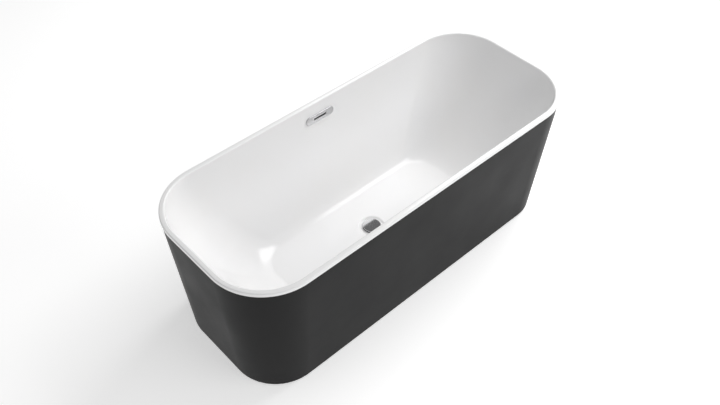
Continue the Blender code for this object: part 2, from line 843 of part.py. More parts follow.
def make_waste_cap():
    top = CAP_BOTTOM + CAP
    edge = []
    for step in range(ROUND_STEPS + 1):
        angle = math.pi / 2 * step / ROUND_STEPS
        edge.append(
            (
                CAP_RADIUS - CAP_EDGE * (1 - math.sin(angle)),
                top - CAP_EDGE * (1 - math.cos(angle)),
            )
        )
    turned(
        "drain_cap",
        [
            (0, top),
            *edge,
            (CAP_RADIUS, CAP_BOTTOM + SMALL_CHAMFER),
            (CAP_RADIUS - SMALL_CHAMFER, CAP_BOTTOM),
            (0, CAP_BOTTOM),
        ],
        CHROME,
        sides=CAP_SIDES,
        ring=False,
    )
    turned(
        "cap_seal", washer(SEAL_OUTER, SEAL_INNER, SEAL_TOP, SEAL_TOP - SEAL), RUBBER, FINE_SIDES
    )
    head_top = CAP_BOTTOM - GAP
    turned(
        "cap_stem",
        [
            (0, head_top),
            (STEM_HEAD_RADIUS, head_top),
            (STEM_HEAD_RADIUS, head_top - STEM_HEAD),
            (STEM_RADIUS, head_top - STEM_HEAD),
            (STEM_RADIUS, STEM_SHOULDER),
            (STEM_ROD_RADIUS, STEM_SHOULDER),
            (STEM_ROD_RADIUS, SPRING_BOTTOM + STEM_LIFT),
            (0, SPRING_BOTTOM + STEM_LIFT),
        ],
        ZINC,
        ring=False,
    )


def make_latch():
    floor = CARTRIDGE_BOTTOM + CARTRIDGE_FLOOR
    turned(
        "latch_cartridge",
        [
            (0, floor),
            (CARTRIDGE_BORE, floor),
            (CARTRIDGE_BORE, CARTRIDGE_TOP),
            (HUB_RADIUS - COLLAR_STEP, CARTRIDGE_TOP),
            (HUB_RADIUS - COLLAR_STEP, CARTRIDGE_TOP - CARTRIDGE_COLLAR),
            (CARTRIDGE_RADIUS, CARTRIDGE_TOP - CARTRIDGE_COLLAR),
            (CARTRIDGE_RADIUS, CARTRIDGE_BOTTOM),
            (0, CARTRIDGE_BOTTOM),
        ],
        DARK_PLASTIC,
        ring=False,
    )
    count = SPRING_TURNS * SPRING_STEPS
    low = SPRING_BOTTOM + SPRING_WIRE
    high = SPRING_TOP - SPRING_WIRE
    points = []
    for step in range(count + 1):
        angle = 2 * math.pi * step / SPRING_STEPS
        height = low + (high - low) * step / count
        points.append(
            (SPRING_RADIUS * math.cos(angle), SPRING_RADIUS * math.sin(angle), height)
        )
    wire("latch_spring", points, SPRING_WIRE, ZINC, resolution=1)


def wire(name, points, radius, colour, resolution):
    curve = bpy.data.curves.new(name, "CURVE")
    curve.dimensions = "3D"
    curve.bevel_depth = radius
    curve.bevel_resolution = resolution
    curve.use_fill_caps = True
    spline = curve.splines.new("POLY")
    spline.points.add(len(points) - 1)
    for point, place in zip(spline.points, points):
        point.co = (*place, 1)
    obj = bpy.data.objects.new(name, curve)
    TUB.objects.link(obj)
    curve.materials.append(new_material(name, *colour))
    return obj


def make_waste_gaskets():
    outer = LIP_RADIUS - GASKET_STEP
    turned(
        "drain_gasket_top",
        washer(outer, WASTE_HOLE, RECESS + GAP + GASKET, RECESS + GAP),
        RUBBER,
        FINE_SIDES,
    )
    under = RECESS - SHELL_WALL - GAP
    turned(
        "drain_gasket_bottom", washer(outer, WASTE_HOLE, under, under - GASKET), RUBBER, FINE_SIDES
    )


def make_drain_body():
    inside = WASTE_HOLE
    body = turned(
        "drain_body",
        [
            (0, BODY_TOP),
            (LIP_RADIUS - GASKET_STEP, BODY_TOP),
            (LIP_RADIUS - GASKET_STEP, BODY_TOP - BODY_FLANGE),
            (BODY_RADIUS, BODY_TOP - BODY_FLANGE),
            (BODY_RADIUS, BODY_BOTTOM),
            (0, BODY_BOTTOM),
        ],
        PLASTIC,
        sides=FINE_SIDES,
        ring=False,
    )
    arm = rod("arm", ARM_RADIUS, (0, 0, ARM_HEIGHT), (ARM_END, 0, ARM_HEIGHT))
    inlet = rod(
        "inlet",
        SPIGOT_RADIUS,
        (0, 0, INLET_HEIGHT),
        (0, INLET_REACH, INLET_HEIGHT),
        sides=SMALL_SIDES,
    )
    throat = rod(
        "body_bore",
        inside,
        (0, 0, BODY_BOTTOM + BODY_FLOOR),
        (0, 0, BODY_TOP + PAST),
        sides=FINE_SIDES,
    )
    arm_bore = rod(
        "arm_bore", ARM_RADIUS - PIPE_WALL, (0, 0, ARM_HEIGHT), (ARM_END + PAST, 0, ARM_HEIGHT)
    )
    inlet_bore = rod(
        "inlet_bore",
        SPIGOT_RADIUS - SPIGOT_WALL,
        (0, 0, INLET_HEIGHT),
        (0, INLET_REACH + PAST, INLET_HEIGHT),
        sides=SMALL_SIDES,
    )
    join(body, arm, inlet)
    cut(body, inlet_bore, arm_bore, throat)


def make_union_nut():
    """The nut that draws the waste's arm into the trap's socket."""
    start = SOCKET_START - UNION_LIP - GAP
    end = start + UNION_LENGTH
    nut = rod(
        "union_nut", UNION_RADIUS, (start, 0, ARM_HEIGHT), (end, 0, ARM_HEIGHT), PLASTIC, NUT_SIDES
    )
    small = rod(
        "union_lip_bore", ARM_RADIUS + GAP, (start - PAST, 0, ARM_HEIGHT), (end, 0, ARM_HEIGHT)
    )
    large = rod(
        "union_bore",
        SOCKET_RADIUS + GAP,
        (start + UNION_LIP, 0, ARM_HEIGHT),
        (end + PAST, 0, ARM_HEIGHT),
    )
    cut(nut, small, large)


def make_trap():
    centre = (TRAP_X, 0)
    cavity_top = TRAP_TOP - TRAP_WALL
    shell_inner = TRAP_RADIUS - TRAP_WALL
    trap = turned(
        "trap_body",
        [
            (0, TRAP_TOP),
            (TRAP_RADIUS, TRAP_TOP),
            (TRAP_RADIUS, TRAP_BOTTOM),
            (shell_inner, TRAP_BOTTOM),
            (shell_inner, cavity_top),
            (DIP_RADIUS, cavity_top),
            (DIP_RADIUS, DIP_BOTTOM),
            (DIP_RADIUS - DIP_WALL, DIP_BOTTOM),
            (DIP_RADIUS - DIP_WALL, cavity_top),
            (0, cavity_top),
        ],
        PLASTIC,
        sides=FINE_SIDES,
        centre=centre,
        ring=False,
    )
    shell_middle = TRAP_RADIUS - TRAP_WALL / 2
    dip_middle = TRAP_X - DIP_RADIUS + DIP_WALL / 2
    tube = DIP_RADIUS - DIP_WALL - CROSSING_EASE
    crossing = rod(
        "trap_crossing",
        tube + DIP_WALL,
        (TRAP_X - shell_middle, 0, ARM_HEIGHT),
        (dip_middle, 0, ARM_HEIGHT),
    )
    socket = rod(
        "trap_socket",
        SOCKET_RADIUS,
        (SOCKET_START, 0, ARM_HEIGHT),
        (TRAP_X - shell_middle, 0, ARM_HEIGHT),
    )
    outlet = rod(
        "trap_outlet",
        ARM_RADIUS,
        (TRAP_X + shell_middle, 0, OUTLET_HEIGHT),
        (OUTLET_END, 0, OUTLET_HEIGHT),
    )
    join(trap, crossing, socket, outlet)
    cut(
        trap,
        rod("crossing_bore", tube, (SOCKET_START, 0, ARM_HEIGHT), (TRAP_X, 0, ARM_HEIGHT)),
        rod(
            "socket_bore",
            ARM_RADIUS + GAP,
            (SOCKET_START - PAST, 0, ARM_HEIGHT),
            (ARM_END + GAP, 0, ARM_HEIGHT),
        ),
        rod(
            "outlet_bore",
            ARM_RADIUS - PIPE_WALL,
            (TRAP_X + DIP_RADIUS + OUTLET_WEIR, 0, OUTLET_HEIGHT),
            (OUTLET_END + PAST, 0, OUTLET_HEIGHT),
        ),
    )
    cup_inner = TRAP_RADIUS + GAP
    cup_outer = cup_inner + TRAP_WALL
    ledge = TRAP_SEAL_BOTTOM - GAP
    turned(
        "trap_cup",
        [
            (0, CUP_BOTTOM + TRAP_WALL),
            (cup_inner - CUP_LEDGE, CUP_BOTTOM + TRAP_WALL),
            (cup_inner - CUP_LEDGE, ledge),
            (cup_inner, ledge),
            (cup_inner, CUP_TOP),
            (cup_outer, CUP_TOP),
            (cup_outer, CUP_BOTTOM + BIG_CHAMFER),
            (cup_outer - BIG_CHAMFER, CUP_BOTTOM),
            (0, CUP_BOTTOM),
        ],
        DARK_PLASTIC,
        sides=FINE_SIDES,
        centre=centre,
        ring=False,
    )
    turned(
        "trap_seal",
        washer(TRAP_RADIUS, TRAP_RADIUS - TRAP_WALL, TRAP_SEAL_TOP, TRAP_SEAL_BOTTOM),
        RUBBER,
        sides=FINE_SIDES,
        centre=centre,
    )


# --- overflow ----------------------------------------------------------------------------------
def make_overflow_plate():
    back = -PLATE_SEAT
    plate = slab(
        "overflow_plate", pill(PLATE_LENGTH, PLATE_HEIGHT, 12), back - PLATE, back, CHROME, OVERFLOW
    )
    collar = slab(
        "plate_collar",
        pill(COLLAR_LENGTH, COLLAR_HEIGHT),
        back - PLATE / 2,
        COLLAR_DEPTH,
        matrix=OVERFLOW,
    )
    hollow = slab(
        "plate_hollow",
        pill(COLLAR_LENGTH - 2 * COLLAR_WALL, COLLAR_HEIGHT - 2 * COLLAR_WALL),
        back,
        COLLAR_DEPTH + PAST,
        matrix=OVERFLOW,
    )
    slot = slab("plate_slot", pill(SLOT_LENGTH, SLOT_HEIGHT), -2 * PAST, 2 * PAST, matrix=OVERFLOW)
    bevel(plate, PLATE_EDGE)
    join(plate, collar)
    cut(plate, hollow, slot)


def make_overflow_gasket():
    near = SHELL_WALL + GAP
    gasket = slab(
        "overflow_gasket",
        pill(FLANGE_LENGTH, FLANGE_HEIGHT),
        near,
        near + GASKET,
        RUBBER,
        OVERFLOW,
    )
    cut(gasket, WALL_HOLE)


def make_overflow_body():
    near = SHELL_WALL + GASKET + 2 * GAP
    far = near + CHAMBER_DEPTH
    half = CHAMBER_WIDTH / 2
    body = slab(
        "overflow_body",
        pill(FLANGE_LENGTH, FLANGE_HEIGHT),
        near,
        near + FLANGE,
        PLASTIC,
        OVERFLOW,
    )
    chamber = box(
        "chamber", (-half, near, -CHAMBER_BELOW), (half, far, CHAMBER_ABOVE), matrix=OVERFLOW
    )
    wall = CHAMBER_WALL
    hollow = box(
        "chamber_hollow",
        (-half + wall, near + wall, -CHAMBER_BELOW + CHAMBER_FLOOR),
        (half - wall, far - wall, CHAMBER_ABOVE - wall),
        matrix=OVERFLOW,
    )
    mouth = slab(
        "chamber_mouth",
        pill(COLLAR_LENGTH + 2 * GAP, COLLAR_HEIGHT + 2 * GAP),
        near - PAST,
        near + 2 * wall,
        matrix=OVERFLOW,
    )
    spigot_top = -CHAMBER_BELOW + CHAMBER_FLOOR + SPIGOT_COLLAR
    spigot_bottom = -CHAMBER_BELOW - SPIGOT_LENGTH
    spigot = rod(
        "overflow_spigot",
        SPIGOT_RADIUS,
        (0, SPIGOT_DEPTH, spigot_bottom),
        (0, SPIGOT_DEPTH, spigot_top),
        sides=SMALL_SIDES,
        matrix=OVERFLOW,
    )
    bore = rod(
        "spigot_bore",
        SPIGOT_RADIUS - SPIGOT_WALL,
        (0, SPIGOT_DEPTH, spigot_bottom - PAST),
        (0, SPIGOT_DEPTH, spigot_top - SPIGOT_COLLAR / 2),
        sides=SMALL_SIDES,
        matrix=OVERFLOW,
    )
    join(body, chamber, spigot)
    cut(body, hollow, mouth, bore)


def hose_route():
    """From the overflow's spigot, down between the shells and under the rail to the waste."""
    drops = (HOSE_START, SPIGOT_LENGTH, SPIGOT_LENGTH + HOSE_STRAIGHT)
    points = [
        OVERFLOW @ Vector((0, SPIGOT_DEPTH, -CHAMBER_BELOW - drop)) for drop in drops
    ]
    down = points[-1]
    for share in HOSE_SHARES:
        height = FLOOR_HEIGHT + (down.z - FLOOR_HEIGHT) * share
        well = WIDTH / 2 - well_inset(height)[0] + SHELL_WALL
        points.append(Vector((0, (well + apron_inner_y(height)) / 2, height)))
    cross = RAIL_Y + 2 * TUBE
    points.append(Vector((0, cross + HOSE_BEND, BOARD_BOTTOM)))
    points.append(Vector((0, cross + HOSE_BEND / 3, INLET_HEIGHT + HOSE_BEND / 6)))
    points.append(Vector((0, cross - HOSE_BEND / 2, INLET_HEIGHT)))
    points.append(Vector((0, INLET_REACH, INLET_HEIGHT)))
    points.append(Vector((0, HOSE_END_Y, INLET_HEIGHT)))
    return points


def smooth_route(points, steps):
    """Points along a smooth curve through the route's own points."""
    padded = [points[0] * 2 - points[1], *points, points[-1] * 2 - points[-2]]
    smooth = []
    for before, start, end, after in zip(padded, padded[1:], padded[2:], padded[3:]):
        for step in range(steps):
            t = step / steps
            smooth.append(
                0.5
                * (
                    2 * start
                    + (end - before) * t
                    + (2 * before - 5 * start + 4 * end - after) * t**2
                    + (3 * start - before - 3 * end + after) * t**3
                )
            )
    return [*smooth, points[-1]]


def make_hose():
    points = smooth_route(hose_route(), ROUTE_STEPS)
    guide = wire("hose_guide", points, HOSE_OUTER, PLASTIC, resolution=4)
    guide.data.use_fill_caps = False
    graph = bpy.context.evaluated_depsgraph_get()
    mesh = bpy.data.meshes.new_from_object(guide.evaluated_get(graph))
    bpy.data.objects.remove(guide, do_unlink=True)
    mesh.name = "overflow_hose"
    mesh.materials.clear()
    hose = add_object("overflow_hose", mesh, PLASTIC)
    solid = hose.modifiers.new("wall", "SOLIDIFY")
    solid.thickness = HOSE_WALL
    solid.offset = -1
    solid.use_even_offset = True
    return points


def make_hose_clips(points):
    for name, first, second in (
        ("hose_clip_top", points[0], points[1]),
        ("hose_clip_bottom", points[-1], points[-2]),
    ):
        along = (second - first).normalized()
        start = first + along * CLIP_FROM_END
        end = start + along * CLIP_WIDTH
        inner = HOSE_OUTER + GAP
        clip = rod(name, inner + CLIP_THICKNESS, start, end, ZINC)
        cut(clip, rod(f"{name}_bore", inner, start - along * PAST, end + along * PAST))


make_basin()
make_apron()
make_rim_adhesive()
make_board()
make_rails()
make_cross_members()
make_board_screws()
make_apron_brackets()
make_end_straps()
make_feet()
make_waste_flange()
make_waste_cap()
make_latch()
make_waste_gaskets()
make_drain_body()
make_union_nut()
make_trap()
make_overflow_plate()
make_overflow_gasket()
make_overflow_body()
make_hose_clips(make_hose())
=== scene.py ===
"""The finished look of a freestanding bathtub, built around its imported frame.

The two shells, the chrome pieces and the threaded studs are modelled here. The other fittings are
refined copies of the frame's nodes. Places are read from the frame, in metres, +Z up.
"""

import json
import math

import bpy
from bpy.props import FloatProperty, FloatVectorProperty, PointerProperty
from mathutils import Matrix, Vector


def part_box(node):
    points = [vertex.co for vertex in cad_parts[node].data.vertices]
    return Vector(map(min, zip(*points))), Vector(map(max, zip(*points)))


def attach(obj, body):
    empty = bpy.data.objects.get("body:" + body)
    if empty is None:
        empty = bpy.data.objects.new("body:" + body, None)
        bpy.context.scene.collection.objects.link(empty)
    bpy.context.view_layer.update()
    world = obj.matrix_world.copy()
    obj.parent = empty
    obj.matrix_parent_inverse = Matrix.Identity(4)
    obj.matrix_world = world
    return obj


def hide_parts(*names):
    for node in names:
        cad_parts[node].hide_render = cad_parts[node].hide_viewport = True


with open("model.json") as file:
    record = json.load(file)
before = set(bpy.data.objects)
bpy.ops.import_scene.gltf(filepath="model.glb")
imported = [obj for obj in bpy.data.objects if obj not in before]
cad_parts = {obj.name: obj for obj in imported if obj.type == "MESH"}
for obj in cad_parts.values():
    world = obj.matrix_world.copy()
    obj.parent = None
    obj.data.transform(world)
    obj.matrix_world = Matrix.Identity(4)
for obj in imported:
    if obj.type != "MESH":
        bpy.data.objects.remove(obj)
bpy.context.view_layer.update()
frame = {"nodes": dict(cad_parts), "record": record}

bl_info = {
    "name": "Freestanding bathtub",
    "version": (1, 0, 0),
    "blender": (4, 5, 0),
    "location": "View3D > Sidebar > Bathtub",
    "description": "Models a double-ended bathtub with its waste, overflow, frame and feet",
    "category": "Object",
}

# --- places read from the frame ---
BASIN_LOW, BASIN_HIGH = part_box("basin")
APRON_LOW, APRON_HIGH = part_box("apron")
BOARD_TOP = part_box("base_board")[1].z
CAP_LOW, CAP_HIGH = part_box("drain_cap")
FLANGE_LOW, FLANGE_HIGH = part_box("drain_flange")
PLATE_LOW, PLATE_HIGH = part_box("overflow_plate")
GAP = 0.0003
SHELL_WALL = 0.004
FLOOR_HEIGHT = BOARD_TOP + GAP + SHELL_WALL  # of the well's flat floor

# --- how finely the pieces are divided ---
CORNER_STEPS = 32
WALL_STEPS = 48
ROUND_STEPS = 8
TURNED_SIDES = 96
RING_SPACING = 0.25  # between rings while they are bridged
MERGE_DISTANCE = 0.000002
COPY_MERGE_DISTANCE = 0.000005
LEVEL_TOLERANCE = 0.00001
SHOULDER = 0.3  # where the middle ring of a rounded edge lies, as a share of its radius


# --- sizes and colours ---
def length_property(name, description, default):
    return FloatProperty(name=name, description=description, default=default, unit="LENGTH")


def colour_property(name, description, default):
    return FloatVectorProperty(
        name=name, description=description, default=default, subtype="COLOR", min=0.0, max=1.0
    )


def share_property(name, description, default):
    return FloatProperty(
        name=name, description=description, default=default, subtype="FACTOR", min=0.0, max=1.0
    )


class BathtubSizes(bpy.types.PropertyGroup):
    """Sizes of the two shells and of the chrome pieces"""

    length: length_property("Length", "Over the rim, end to end", BASIN_HIGH.x - BASIN_LOW.x)
    width: length_property("Width", "Over the rim, side to side", BASIN_HIGH.y - BASIN_LOW.y)
    height: length_property("Height", "From the floor to the rim", BASIN_HIGH.z)
    rim_radius: length_property("Rim radius", "Of the rim's corners, seen from above", 0.229)
    rim_flat: length_property("Rim flat", "Level strip on top of the rim", 0.0085)
    rim_outer_round: length_property("Rim outer round", "Radius of the rim's outer edge", 0.005)
    rim_inner_round: length_property("Rim inner round", "Radius of the rim's inner edge", 0.008)
    side_bow: length_property("Side bow", "How far the long walls curve in", 0.1395)
    end_bow: length_property("End bow", "How far the end walls curve in", 0.3445)
    floor_radius: length_property("Floor radius", "Of the well's floor corners", 0.110)
    recess_radius: length_property("Recess radius", "Of the dish round the waste", 0.058)
    recess_depth: length_property("Recess depth", "Of the dish round the waste", 0.005)
    base_inset_x: length_property("End taper", "How far the ends lean in at the base", 0.045)
    base_inset_y: length_property("Side taper", "How far the sides lean in at the base", 0.0385)
    base_radius: length_property("Base radius", "Of the outer shell's base corners", 0.190)


class BathtubFinish(bpy.types.PropertyGroup):
    """Colours and roughness of the finishes"""

    inner: colour_property("Inner shell", "Gloss white acrylic", (0.88, 0.88, 0.885))
    outer: colour_property("Outer shell", "Satin anthracite acrylic", (0.0095, 0.0095, 0.0098))
    chrome: colour_property("Chrome", "Polished waste and overflow", (0.60, 0.60, 0.61))
    zinc: colour_property("Zinc", "Plated studs, nuts and brackets", (0.52, 0.53, 0.55))
    paint: colour_property("Frame paint", "Black powder coat", (0.045, 0.045, 0.048))
    rubber: colour_property("Rubber", "Seals and gaskets", (0.018, 0.018, 0.018))
    pale_plastic: colour_property("Pale plastic", "Moulded waste and trap", (0.70, 0.70, 0.68))
    dark_plastic: colour_property("Dark plastic", "Foot pads and cup", (0.030, 0.030, 0.031))
    board: colour_property("Board", "Resin-sealed chipboard", (0.47, 0.33, 0.19))
    adhesive: colour_property("Adhesive", "Cured bead under the rim", (0.60, 0.60, 0.57))
    inner_roughness: share_property("Inner roughness", "Of the white shell", 0.12)
    outer_roughness: share_property("Outer roughness", "Of the dark shell", 0.42)


# --- working on meshes ---
def deselect_all():
    bpy.ops.object.select_all(action="DESELECT")


def take(obj):
    """Makes obj the only selected and the active object."""
    deselect_all()
    obj.select_set(True)
    bpy.context.view_layer.objects.active = obj


def merge_pieces(name, pieces):
    """Joins pieces into one object with that name."""
    take(pieces[0])
    for piece in pieces[1:]:
        piece.select_set(True)
    if len(pieces) > 1:
        bpy.ops.object.join()
    pieces[0].name = pieces[0].data.name = name
    return pieces[0]


def place(obj, matrix):
    """Moves a piece by its mesh, so that its object stays at the origin."""
    obj.matrix_world = matrix
    take(obj)
    bpy.ops.object.transform_apply(location=True, rotation=True, scale=True)
    return obj


def apply_modifiers(obj):
    take(obj)
    for modifier in list(obj.modifiers):
        bpy.ops.object.modifier_apply(modifier=modifier.name)
    return obj


def add_ring(half_x, half_y, radius, height):
    """Adds a level outline with round corners to the mesh in hand, and leaves it selected."""
    bpy.ops.mesh.primitive_plane_add(size=2, location=(0, 0, height))
    middle = (0, 0, height)
    bpy.ops.transform.resize(value=(half_x, half_y, 1), center_override=middle)
    bpy.ops.mesh.bevel(offset=radius, segments=CORNER_STEPS, affect="VERTICES", profile=0.5)


def add_circle(radius, height, sides):
    """Adds a level circle to the mesh in hand, with a side and not a corner on each axis."""
    bpy.ops.mesh.primitive_circle_add(vertices=sides, radius=radius, location=(0, 0, height))
    turn = math.pi / sides
    bpy.ops.transform.rotate(value=turn, orient_axis="Z", center_override=(0, 0, height))


def skin(name, rings, closed=False, capped=False):
    """A surface bridged through rings, given from one end to the other.

    A ring is (half_x, half_y, radius, height) for an outline with round corners, or (radius,
    height, sides) for a circle. The rings are bridged well apart and then moved to their heights.
    """
    deselect_all()
    bpy.ops.mesh.primitive_circle_add(vertices=3)
    obj = bpy.context.object
    obj.name = obj.data.name = name
    obj.location = (0, 0, 0)
    bpy.ops.object.mode_set(mode="EDIT")
    bpy.ops.mesh.delete(type="VERT")
    for index, ring in enumerate(rings):
        if len(ring) == 4:
            half_x, half_y, radius, _ = ring
            add_ring(half_x, half_y, radius, RING_SPACING * index)
        else:
            radius, _, sides = ring
            add_circle(radius, RING_SPACING * index, sides)
        bpy.ops.object.vertex_group_assign_new()
        bpy.ops.mesh.delete(type="ONLY_FACE")
    pairs = [(index, index + 1) for index in range(len(rings) - 1)]
    if closed:
        pairs.append((len(rings) - 1, 0))
    for pair in pairs:
        select_groups(obj, pair)
        bpy.ops.mesh.bridge_edge_loops()
    for index, ring in enumerate(rings):
        height = ring[3] if len(ring) == 4 else ring[1]
        select_groups(obj, (index,))
        bpy.ops.transform.translate(value=(0, 0, height - RING_SPACING * index))
    if capped:
        for index in (0, len(rings) - 1):
            select_groups(obj, (index,))
            bpy.ops.mesh.edge_face_add()
    bpy.ops.object.vertex_group_remove(all=True)
    bpy.ops.mesh.select_all(action="SELECT")
    bpy.ops.mesh.remove_doubles(threshold=MERGE_DISTANCE)
    bpy.ops.mesh.normals_make_consistent(inside=False)
    bpy.ops.object.mode_set(mode="OBJECT")
    return obj


def turned(name, profile, sides=TURNED_SIDES, **ends):
    """A skin of circles round the vertical axis, through (radius, height) pairs."""
    return skin(name, [(radius, height, sides) for radius, height in profile], **ends)


def select_groups(obj, indices):
    bpy.ops.mesh.select_all(action="DESELECT")
    for index in indices:
        obj.vertex_groups.active_index = index
        bpy.ops.object.vertex_group_select()


def face_up(obj, height):
    """Turns an open skin's faces so that those at this height point up."""
    level = [face for face in obj.data.polygons if abs(face.center.z - height) < LEVEL_TOLERANCE]
    if sum(face.normal.z for face in level) > 0:
        return
    take(obj)
    bpy.ops.object.mode_set(mode="EDIT")
    bpy.ops.mesh.select_all(action="SELECT")
    bpy.ops.mesh.flip_normals()
    bpy.ops.object.mode_set(mode="OBJECT")


def smooth(obj, angle=35):
    """Shades a piece smooth, with normals that favour its large faces."""
    take(obj)
    bpy.ops.object.shade_smooth_by_angle(angle=math.radians(angle))
    weighted = obj.modifiers.new("large_faces", "WEIGHTED_NORMAL")
    weighted.keep_sharp = True
    apply_modifiers(obj)
    return obj


def round_edges(obj, width):
    bevel = obj.modifiers.new("edges", "BEVEL")
    bevel.width = width
    bevel.segments = 2
    bevel.limit_method = "ANGLE"
    bevel.angle_limit = math.radians(50)
    apply_modifiers(obj)


def block(name, low, high, edge):
    """A box between two corners, with rounded edges."""
    deselect_all()
    low, high = Vector(low), Vector(high)
    bpy.ops.mesh.primitive_cube_add(size=1, location=(low + high) / 2)
    obj = bpy.context.object
    obj.name = obj.data.name = name
    obj.scale = high - low
    bpy.ops.object.transform_apply(location=True, rotation=True, scale=True)
    bpy.ops.object.mode_set(mode="EDIT")
    bpy.ops.mesh.select_all(action="SELECT")
    bpy.ops.mesh.bevel(offset=edge, segments=2, affect="EDGES")
    bpy.ops.object.mode_set(mode="OBJECT")
    return obj


def fan(name, low, high, edge, count, middle):
    """Copies of a block set round a vertical axis."""
    copies = []
    for turn in range(count):
        copy = block(name, low, high, edge)
        turned = Matrix.Rotation(2 * math.pi * turn / count, 4, "Z")
        copies.append(place(copy, Matrix.Translation(middle) @ turned))
    return copies


def subtract(obj, cutter):
    """Cuts cutter out of obj and removes it."""
    cut = obj.modifiers.new("cut", "BOOLEAN")
    cut.operation = "DIFFERENCE"
    cut.solver = "EXACT"
    cut.object = cutter
    apply_modifiers(obj)
    bpy.data.objects.remove(cutter)


def finish_piece(obj, slot, body, *nodes):
    """Gives a piece its finish and its body, and hides the frame's nodes that it stands for."""
    obj.data.materials.clear()
    obj.data.materials.append(bpy.data.materials[slot])
    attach(obj, body)
    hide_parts(*nodes)
    return obj


# --- shapes of the shells ---
WALL_SLOPE = 0.05  # how much the walls lean before they bow
SIDE_POWER = 2.0
END_POWER = 1.5
ROUND_END = math.pi / 2 - math.atan(WALL_SLOPE)  # where the rim's inner round meets the wall
BASIN_SKIRT = APRON_HIGH.z + GAP
RECESS_SLOPE_RUN = 0.012
WASTE_HOLE = 0.0273
WALL_HOLE = (0.080, 0.024)
HOLE_REACH = 0.02
LEAN_STEP = 0.001
PILL_STRAIGHT = 0.00001  # keeps a short side at the ends of a pill, so that its corners don't meet
UPRIGHT = Matrix.Rotation(math.pi / 2, 4, "X")


def bow(fraction, power):
    """How much of its bow a wall has at a fraction of its drop."""
    return 1 - (1 - fraction**power) ** (1 / power)


def wall_inset(sizes):
    return sizes.rim_outer_round + sizes.rim_flat + sizes.rim_inner_round * math.sin(ROUND_END)


def wall_top(sizes):
    return sizes.height - sizes.rim_inner_round * (1 - math.cos(ROUND_END))


def well_inset(sizes, height):
    """How far in from the rim's outer edge the long and the end walls are at a height."""
    fraction = (wall_top(sizes) - height) / (wall_top(sizes) - FLOOR_HEIGHT)
    slope = wall_inset(sizes) + WALL_SLOPE * (wall_top(sizes) - height)
    side = slope + sizes.side_bow * bow(fraction, SIDE_POWER)
    end = slope + sizes.end_bow * bow(fraction, END_POWER)
    return side, end


def inset_ring(sizes, inset, height):
    return sizes.length / 2 - inset, sizes.width / 2 - inset, sizes.rim_radius - inset, height


def well_ring(sizes, fraction):
    """The well's outline at a fraction of its drop."""
    height = wall_top(sizes) - (wall_top(sizes) - FLOOR_HEIGHT) * fraction
    side, end = well_inset(sizes, height)
    top_radius = sizes.rim_radius - wall_inset(sizes)
    radius = top_radius + (sizes.floor_radius - top_radius) * bow(fraction, SIDE_POWER)
    return sizes.length / 2 - end, sizes.width / 2 - side, radius, height


def rim_rings(sizes):
    """Up the outer side of the rim, over its top and down to where the wall starts."""
    rings = [inset_ring(sizes, 0, BASIN_SKIRT)]
    for step in range(ROUND_STEPS + 1):
        angle = math.pi / 2 * step / ROUND_STEPS
        inset = sizes.rim_outer_round * (1 - math.cos(angle))
        drop = sizes.rim_outer_round * (1 - math.sin(angle))
        rings.append(inset_ring(sizes, inset, sizes.height - drop))
    for step in range(ROUND_STEPS + 1):
        angle = ROUND_END * step / ROUND_STEPS
        level = sizes.rim_outer_round + sizes.rim_flat
        inset = level + sizes.rim_inner_round * math.sin(angle)
        drop = sizes.rim_inner_round * (1 - math.cos(angle))
        rings.append(inset_ring(sizes, inset, sizes.height - drop))
    return rings


def recess_rings(sizes):
    """The dish round the waste: an S-shaped slope down from the floor to a level seat."""
    sides = 4 * (CORNER_STEPS + 1)
    rings = []
    for step in range(ROUND_STEPS + 1):
        share = step / ROUND_STEPS
        radius = sizes.recess_radius - RECESS_SLOPE_RUN * share
        drop = sizes.recess_depth * (1 - math.cos(math.pi * share)) / 2
        rings.append((radius, FLOOR_HEIGHT - drop, sides))
    rings.append((WASTE_HOLE, FLOOR_HEIGHT - sizes.recess_depth, sides))
    return rings


def overflow_place(sizes):
    """X along the wall, Y into it and Z up it, from the overflow's middle on its inner face."""
    height = (PLATE_LOW.z + PLATE_HIGH.z) / 2
    here, above = well_inset(sizes, height)[0], well_inset(sizes, height + LEAN_STEP)[0]
    lean = math.atan((here - above) / LEAN_STEP)
    middle = Matrix.Translation((0, sizes.width / 2 - here, height))
    return middle @ Matrix.Rotation(-lean, 4, "X")


def pill_ring(length, height, depth):
    """A slot outline for add_ring, lying flat at that depth."""
    return length / 2, height / 2, height / 2 - PILL_STRAIGHT, depth


class BATHTUB_OT_basin(bpy.types.Operator):
    """Add the white inner shell: rim, bowed walls, floor and the dish round the waste"""

    bl_idname = "bathtub.basin"
    bl_label = "Inner shell"

    def execute(self, context):
        sizes = context.scene.bathtub_sizes
        rings = rim_rings(sizes)
        for step in range(1, WALL_STEPS + 1):
            rings.append(well_ring(sizes, math.sin(math.pi / 2 * step / WALL_STEPS)))
        basin = skin("inner_shell", rings + recess_rings(sizes))
        face_up(basin, sizes.height)
        wall = basin.modifiers.new("wall", "SOLIDIFY")
        wall.thickness = SHELL_WALL
        wall.offset = -1
        wall.use_even_offset = True
        apply_modifiers(basin)
        ends = [pill_ring(*WALL_HOLE, depth) for depth in (-HOLE_REACH, HOLE_REACH)]
        hole = skin("wall_hole", ends, capped=True)
        place(hole, overflow_place(sizes) @ UPRIGHT)
        subtract(basin, hole)
        smooth(basin)
        finish_piece(basin, "inner_shell", "tub", "basin")
        return {"FINISHED"}


